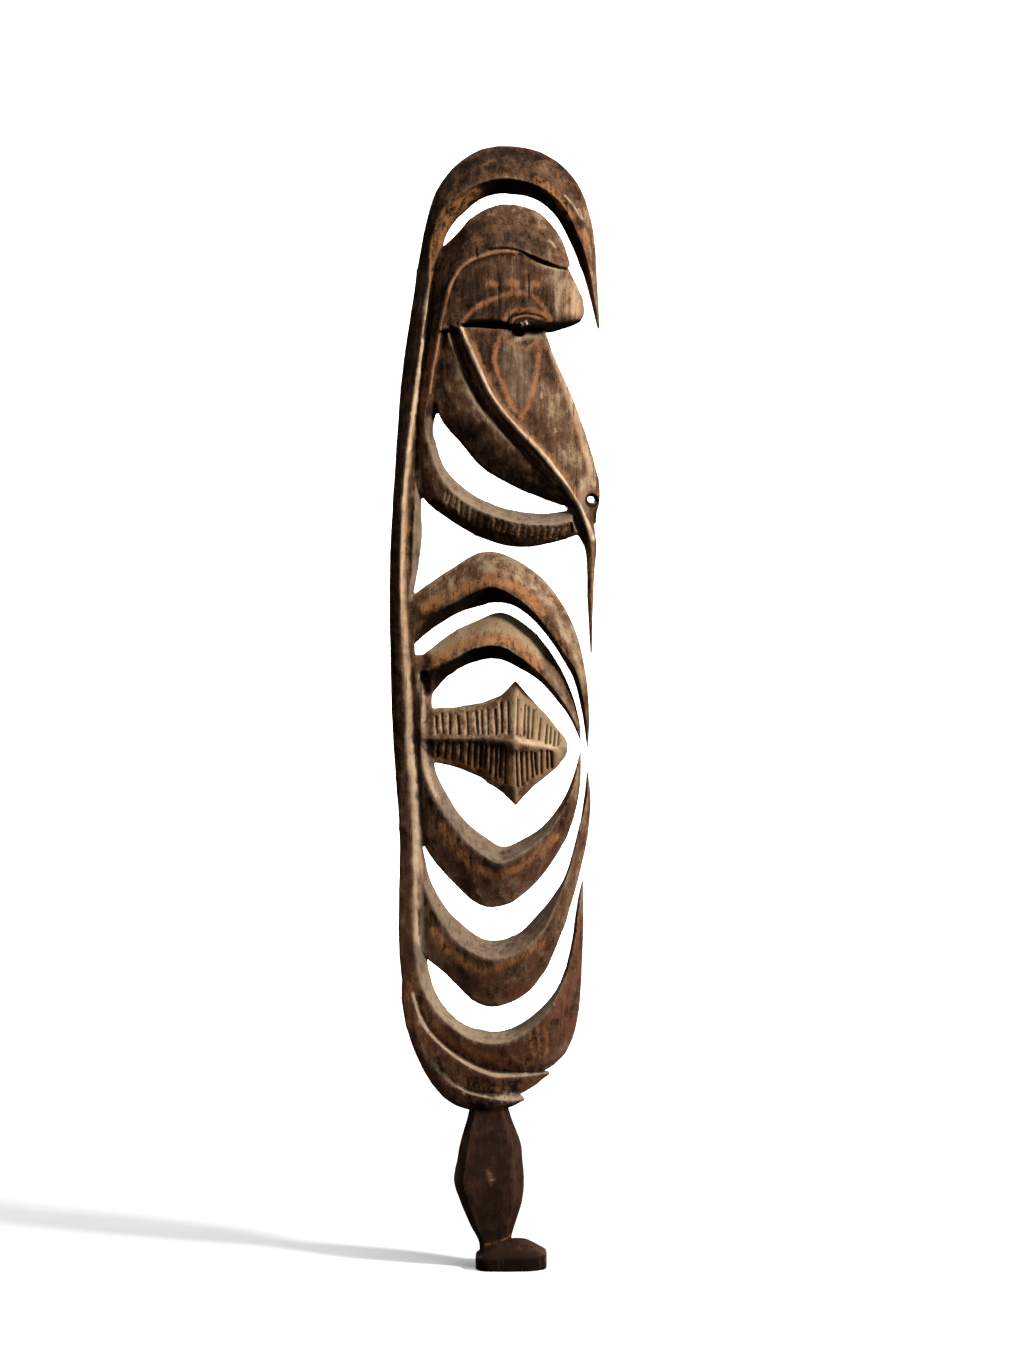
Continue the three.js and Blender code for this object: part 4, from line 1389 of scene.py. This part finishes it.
ochre = strongest(
    strokes(
        (0.85, BROW_ARC, 50, 5), (0.9, EYE_ARC, 50, 4.5), (0.85, CHEEK_LEFT, 42, 5.5),
        (0.8, CHEEK_RIGHT, 36, 5.5), (0.75, CHEEK_CUP, 42, 5.5), (0.8, INNER_OCHRE, 50, 3),
        (0.5, NOSE_STRIP, 20, 5), (0.8, CHEEK_STRIP, 44, 5), (0.7, HOLE_RING, HOLE_SURFACE, 4),
        (0.9, EAR_BAND, 50, 3.8),
    )
    + alike(0.85, BROW_PATCHES, 50, 6)
    + alike(0.7, FLAMES, 30, 3)
)
store_attribute("ochre", ochre * side_on)

# %% Rust-brown stains
HOOK_STAINS = [
    [
        (424, 607), (440, 600), (455, 592), (470, 585), (485, 580), (500, 580), (515, 586), (530, 598),
        (542, 612),
    ],
    [(436, 662), (450, 651), (465, 643), (480, 638), (495, 637), (510, 641), (525, 652), (538, 668)],
]
LOW_STAINS = [
    [
        (444, 826), (450, 838), (460, 852), (474, 865), (487, 872), (499, 876), (513, 869), (527, 863),
        (543, 848), (556, 836),
    ],
    [(434, 932), (443, 944), (455, 955), (474, 968), (493, 969), (512, 960), (527, 951), (540, 942)],
]
LEAF_STAINS = [
    [(412, 975), (425, 1010), (450, 1040), (485, 1058), (530, 1063)],
    [(412, 1020), (430, 1055), (465, 1083), (505, 1090)],
]
LIMB_STAINS = [
    [(540, 610), (552, 628), (565, 655), (577, 690)],
    [(536, 666), (549, 686), (561, 712)],
]
TOP_STAINS = [
    [(583.5, 234), (589, 243)],
    [(538, 181), (555, 195), (570, 216)],
    [(477, 191), (458, 202), (446, 222), (440, 240)],
]
CHEEK_WALL = [
    (455, 335), (464, 356), (474, 378), (484, 398), (497, 417), (514, 436), (534, 457), (556, 481),
]
NOSE_STAIN = [(587, 540), (591, 560), (592, 590), (590, 620)]
LEAF_GROOVE = [(406.5, 505), (407, 540), (407.5, 575)]
DIAMOND_LOW = [(450, 762), (500, 770), (545, 762)]
DIAMOND_RIGHT = [(518, 700), (528, 722), (548, 732)]
rust = strongest(
    strokes(
        (0.7, NECK_STRIP, 34, 5), (0.6, SPINE_STRIP, 18, 6.5), (0.95, CHEEK_WALL, 40, 7),
        (0.45, BROW_FRONT, 30, 16), (0.5, NOSE_STAIN, 8, 8), (0.5, LEAF_GROOVE, 14, 4),
        (0.5, DIAMOND_BAND, 40, 7), (0.8, DIAMOND_LOW, 35, 32), (0.5, DIAMOND_RIGHT, 40, 26),
        (0.35, LEG_HOLLOW, 40, 7), (0.8, ANKLE_CREASE, 40, 2.2),
    )
    + alike(1.0, HOOK_STAINS, 30, 11)
    + alike(0.95, LOW_STAINS, 30, 9)
    + alike(0.45, LEAF_STAINS, 30, 8)
    + alike(0.5, LIMB_STAINS, 30, 4)
    + alike(0.85, TOP_STAINS, 30, 9)
    + alike(1.0, FLAMES, 30, 3.5)
    + alike(0.9, BEARD_STROKES, STROKE["surface"], 2)
    + bevels((0.55, BACK, 7, 10))
)
store_attribute("rust", rust)

# %% [markdown]
# Light and dark wood, with painted light and shade
#
# The tone says how light the bare wood is. It starts from the way the wood faces, as painted light and
# shade: what looks up is painted lighter, and what looks down is painted darker, most of all high up. Broad
# strokes then change it where the photograph does. A row holds the line, its width and the change.

# %% Tone
FOOT_WALL = [(470, 1262), (545, 1262)]
FOOT_WIDTH = 34
TONE_STROKES = [
    ([(425, 245), (432, 205), (450, 172), (480, 150), (512, 146), (545, 156), (572, 185)], 36, -0.36),
    ([(590, 235), (594, 270), (597, 300)], 10, 0.14),
    ([(546, 168), (560, 180), (574, 198)], 15, 0.34),
    ([(582, 205), (589, 222)], 9, 0.2),
    ([(534, 180), (551, 192), (565, 208), (575, 228)], 9, -0.1),
    ([(460, 146), (500, 142), (540, 148)], 14, -0.05),
    ([(460, 246), (480, 232)], 30, -0.22),
    # Painted shade under the brow, round the eye.
    ([(514, 321), (540, 321)], 14, -0.18),
    ([(552, 326), (572, 318)], 10, -0.4),
    ([(548, 326), (530, 330)], 8, -0.5),
    ([(510, 222), (545, 240)], 40, -0.06),
    ([(452, 262), (444, 300), (440, 340)], 18, -0.15),
    ([(466, 285), (474, 305), (492, 318)], 30, -0.2),
    ([(560, 285), (572, 312)], 26, 0.34),
    ([(500, 262), (540, 275)], 26, 0.12),
    ([(476, 340), (488, 365)], 18, -0.14),
    ([(515, 360), (520, 400)], 26, 0.14),
    ([(555, 400), (580, 460)], 34, 0.24),
    ([(446, 345), (455, 400), (490, 450), (550, 490)], 26, 0.04),
    ([(458, 502), (480, 522), (520, 535), (568, 530)], 22, 0.36),
    ([(440, 590), (480, 562), (510, 560), (550, 600), (580, 660)], 26, 0.16),
    # Painted shade on the inner facet of an upper hook's right limb.
    ([(548, 627), (564, 654), (577, 690)], 10, -0.5),
    ([(445, 650), (480, 622), (505, 618), (535, 645)], 22, 0.42),
    # Painted shade on the inner facet of an upper hook's right limb.
    ([(527, 663), (547, 687), (562, 714)], 10, -0.5),
    ([(428, 618), (440, 612)], 14, -0.4),
    ([(425, 668), (445, 662)], 12, -0.3),
    ([(435, 722), (505, 718)], 26, 0.14),
    ([(522, 710), (560, 738)], 30, 0.54),
    ([(522, 768), (555, 755)], 30, 0.6),
    ([(432, 752), (480, 762), (508, 785)], 26, 0.02),
    ([(418, 250), (404, 350), (394, 450), (391, 600), (391, 720), (394, 800)], 15, -0.24),
    ([(404, 850), (405, 900), (410, 950)], 16, 0.12),
    ([(560, 930), (585, 880), (596, 830)], 16, 0.25),
    ([(425, 870), (470, 900), (520, 890)], 24, 0.12),
    ([(430, 960), (480, 985), (520, 975)], 24, 0.1),
    ([(440, 1060), (500, 1065), (560, 1050)], 26, 0.1),
    ([(488, 1110), (486, 1170), (490, 1240)], 80, -0.3),
    # Painted light on the leg's left chamfer.
    ([(461, 1140), (455, 1175), (463, 1205)], 7, 0.4),
    ([(430, 800), (446, 818), (470, 843), (500, 862)], 9, -0.3),
    ([(428, 905), (445, 926), (470, 947), (505, 950)], 8, -0.25),
    (FOOT_WALL, FOOT_WIDTH, -0.12),
]
TONE_DEPTH = 25
TONE_SOFT = 1.9
TONE_FLOOR = -0.5
TONE_LEVEL = {"side": 0.3, "up": 0.12, "down": -0.5, "down low": 0.08}
LOOKS_UP = (0.1, 0.7)
LOOKS_DOWN = (0.15, 0.5)
SHADE_HIGH_UP = (0.62, 0.75)
FOOT_TONE = -0.5
FOOT_DEPTH = 30
# Painted light and shade from the way the wood faces: lighter where it looks up, darker where it looks down,
# most of all high up.
high_up = ramp(final.points[:, 2], *SHADE_HIGH_UP)
underside_shade = TONE_LEVEL["down low"] + (TONE_LEVEL["down"] - TONE_LEVEL["down low"]) * high_up
tone = TONE_LEVEL["side"] + TONE_LEVEL["up"] * ramp(facing, *LOOKS_UP) + underside_shade * ramp(-facing, *LOOKS_DOWN)
tone += FOOT_TONE * stroke_mask(FOOT_WALL, FOOT_DEPTH, FOOT_WIDTH, TONE_SOFT) * side_on
for line, width, change in TONE_STROKES:
    tone += change * stroke_mask(line, TONE_DEPTH, width, TONE_SOFT)
store_attribute("tone", (tone - TONE_FLOOR) / (1 - TONE_FLOOR))

# %% [markdown]
# Wood
#
# The wood is dark and old. Its grain runs up the plank, so streaks, fibres and hairlines are
# stretched along it. The tone that we stored, with the light and shade painted into it, runs from black
# over brown to a greyish tan patina, and noise makes it wander. On top lie red-brown low down, a darker
# brown on the leg, rust-brown stains, pale wood on the bevels and rubbed edges with a few painted
# highlights, ochre in the painted lines, grime and painted shade in the hollows, and painted shade in the
# cuts.
#
# Names such as TO_DARK hold the two limits of a soft step. COVER says how much of the wood below a
# coat hides, and LEVEL_OF how much of it shows on average where noise makes it come and go.
#
# Shader maths is easier to read as sums than as a web of nodes. A small class wraps a socket, so
# that adding or multiplying two of them adds the Math node that does it.

# %% Shader helpers
class Wire:
    """A node's output. Sums with numbers and other wires add Math nodes."""

    def __init__(self, tree, socket):
        self.tree = tree
        self.socket = socket

    def math(self, operation, *values):
        return self.tree.node("ShaderNodeMath", {"operation": operation}, dict(enumerate(values)))

    def __add__(self, other):
        return self.math("ADD", self, other)

    def __sub__(self, other):
        return self.math("SUBTRACT", self, other)

    def __rsub__(self, other):
        return self.math("SUBTRACT", other, self)

    def __mul__(self, other):
        return self.math("MULTIPLY", self, other)

    __radd__ = __add__
    __rmul__ = __mul__


class Tree:
    """A material's nodes."""

    def __init__(self, name):
        self.material = bpy.data.materials.new(name)
        self.material.use_nodes = True
        self.nodes = self.material.node_tree.nodes
        self.shader = self.nodes["Principled BSDF"]

    def link(self, value, socket):
        if isinstance(value, Wire):
            self.material.node_tree.links.new(value.socket, socket)
        else:
            socket.default_value = value

    def node(self, kind, settings=None, values=None, output=0):
        """Adds a node: first its settings, then the values or wires of its sockets."""
        made = self.nodes.new(kind)
        for name, value in (settings or {}).items():
            setattr(made, name, value)
        for key, value in (values or {}).items():
            self.link(value, made.inputs[key])
        return Wire(self, made.outputs[output])

    def mix(self, factor, first, second):
        """Two colours mixed by a factor."""
        values = {0: factor, 6: first, 7: second}
        return self.node("ShaderNodeMix", {"data_type": "RGBA"}, values, output=2)

    def attribute(self, name):
        return self.node("ShaderNodeAttribute", {"attribute_name": name}, output=2)

    def step(self, value, low, high):
        """A soft step from 0 at low to 1 at high."""
        settings = {"interpolation_type": "SMOOTHSTEP"}
        return self.node("ShaderNodeMapRange", settings, {0: value, 1: low, 2: high, 3: 0.0, 4: 1.0})

    def noise(self, place, scale, detail=3.0, roughness=0.55):
        return self.node(
            "ShaderNodeTexNoise", None,
            {"Vector": place, "Scale": scale, "Detail": detail, "Roughness": roughness},
        )


# %% Patterns
GRAIN_STRETCH = 0.06
tree = Tree("carved wood")
place_in_wood = tree.node("ShaderNodeTexCoord", output=3)
grain_place = tree.node("ShaderNodeMapping", None, {0: place_in_wood, 3: (1, 1, GRAIN_STRETCH)})
streaks = tree.noise(grain_place, scale=170.0, detail=4.0)
fibres = tree.noise(grain_place, scale=640.0)
hairs = tree.noise(grain_place, scale=330.0, detail=2.0)
blotches = tree.noise(place_in_wood, scale=34.0, detail=5.0, roughness=0.62)
patches = tree.noise(place_in_wood, scale=90.0, detail=4.0, roughness=0.6)
speckle = tree.noise(place_in_wood, scale=420.0, detail=2.0)
height = tree.node("ShaderNodeSeparateXYZ", None, {0: place_in_wood}, output=2)
ridge, hollow, ochre_lines, dust, wear_and_highlight_lines, cut_shade_lines, stains, tone_level = (
    tree.attribute(name)
    for name in ("ridge", "hollow", "ochre", "dusty", "wear_and_highlights", "cut_shade", "rust", "tone")
)


def blend(*parts):
    """A sum of wires, each times its share."""
    return sum(wire * share for wire, share in parts)


def varied(*parts):
    """A sum of noises, each swinging round 0 by its share."""
    return sum((noise - 0.5) * share for noise, share in parts)


print("nodes of the patterns:", len(tree.nodes))

# %% Wood colour
BLACK = (0.0085, 0.0042, 0.0020, 1)
DARK = (0.032, 0.0155, 0.0078, 1)
BROWN = (0.105, 0.050, 0.025, 1)
GREY_TAN = (0.280, 0.190, 0.108, 1)
DUST = (0.225, 0.162, 0.108, 1)
WORN_AND_HIGHLIGHT = (0.640, 0.440, 0.275, 1)
OCHRE = (0.345, 0.145, 0.062, 1)
RUST = (0.330, 0.140, 0.052, 1)
RED_BROWN = (0.120, 0.043, 0.024, 1)
LEG_BROWN = (0.027, 0.0130, 0.0080, 1)

TO_DARK = (-0.05, 0.2)
TO_BROWN = (0.15, 0.48)
TO_GREY_TAN = (0.44, 0.85)
RED_BELOW = (0.3, 0.75)
RED_BLOTCH = (0.36, 0.58)
RED_TONE = (0.05, 0.35)
ABOVE_FOOT_EDGE = (0.012, 0.03)
ABOVE_LEG = (0.2, 0.24)
STAINED = (0.43, 0.6)
PAINTED = (0.46, 0.78)
GRIME_AND_SHADE = (0.2, 0.9)
HAIRLINE = (0.62, 0.7)
COVER = {"red": 0.8, "rust": 0.85, "ochre": 0.9, "grime_and_hollow_shade": 0.75, "hairlines": 0.55}
LEVEL_OF = {"leg": 0.66, "dust": 0.85, "wear_and_highlights": 0.95}

wander = varied((blotches, 1.4), (patches, 1.1), (streaks, 1.1), (fibres, 0.8), (speckle, 0.7))
tone_here = tone_level * (1 - TONE_FLOOR) + TONE_FLOOR + blend((wander, 0.55), (ridge, 0.24))
colour = tree.mix(tree.step(tone_here, *TO_DARK), BLACK, DARK)
colour = tree.mix(tree.step(tone_here, *TO_BROWN), colour, BROWN)
colour = tree.mix(tree.step(tone_here, *TO_GREY_TAN), colour, GREY_TAN)
low_down = 1 - tree.step(height, *RED_BELOW)
reddened = low_down * tree.step(blotches, *RED_BLOTCH) * tree.step(tone_here, *RED_TONE)
colour = tree.mix(reddened * COVER["red"], colour, RED_BROWN)
leg_here = tree.step(height, *ABOVE_FOOT_EDGE) * (1 - tree.step(height, *ABOVE_LEG))
colour = tree.mix(leg_here * (LEVEL_OF["leg"] + varied((patches, 0.9))), colour, LEG_BROWN)
mottle = blend((patches, 0.4), (streaks, 0.35), (speckle, 0.25), (stains, 0.05))
stain_here = stains * tree.step(mottle, *STAINED)
colour = tree.mix(stain_here * COVER["rust"], colour, RUST)
dust_here = dust * (LEVEL_OF["dust"] + varied((streaks, 1.2), (patches, 1.2)))
colour = tree.mix(dust_here, colour, DUST)
wear_and_highlight_here = wear_and_highlight_lines * (LEVEL_OF["wear_and_highlights"] + varied((streaks, 1.4), (patches, 1.6)))
colour = tree.mix(wear_and_highlight_here, colour, WORN_AND_HIGHLIGHT)
flaking = blend((speckle, 0.4), (patches, 0.6), (ochre_lines, 0.3))
paint_here = ochre_lines * tree.step(flaking, *PAINTED)
colour = tree.mix(paint_here * COVER["ochre"], colour, OCHRE)
# Grime, and painted shade: the hollows are painted near black.
grime_and_hollow_shade = tree.step(hollow + varied((patches, 0.4)), *GRIME_AND_SHADE)
colour = tree.mix(grime_and_hollow_shade * COVER["grime_and_hollow_shade"], colour, BLACK)
hairlines = tree.step(hairs, *HAIRLINE)
colour = tree.mix(hairlines * COVER["hairlines"], colour, DARK)
# Painted shade in the cuts.
colour = tree.mix(cut_shade_lines, colour, BLACK)
print("nodes with the colours:", len(tree.nodes))

# %% Wood surface
ROUGHNESS = 0.68
SPECULAR = 0.04
BUMP = {"Strength": 0.8, "Distance": 0.001}
roughness = ROUGHNESS + varied((fibres, 0.25)) + blend((wear_and_highlight_here, -0.08), (grime_and_hollow_shade, 0.15))
fine_relief = blend((fibres, 0.5), (streaks, 0.6), (speckle, 0.25), (hairlines, -0.5))
bump = tree.node("ShaderNodeBump", None, {**BUMP, "Height": fine_relief})
tree.link(colour, tree.shader.inputs["Base Color"])
tree.link(roughness, tree.shader.inputs["Roughness"])
tree.link(bump, tree.shader.inputs["Normal"])
tree.link(SPECULAR, tree.shader.inputs["Specular IOR Level"])
print("nodes in all:", len(tree.nodes))

# %% [markdown]
# The finished piece
#
# The one object is shown in place of the solid figure and rides on the only body.

# %% Finished piece
carving = bpy.data.objects.new("carved_figure", final.mesh)
bpy.context.scene.collection.objects.link(carving)
carving.data.materials.clear()
carving.data.materials.append(tree.material)
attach(carving, "root")
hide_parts("figure")
print("piece:", carving.name, "with", len(carving.data.polygons), "faces")
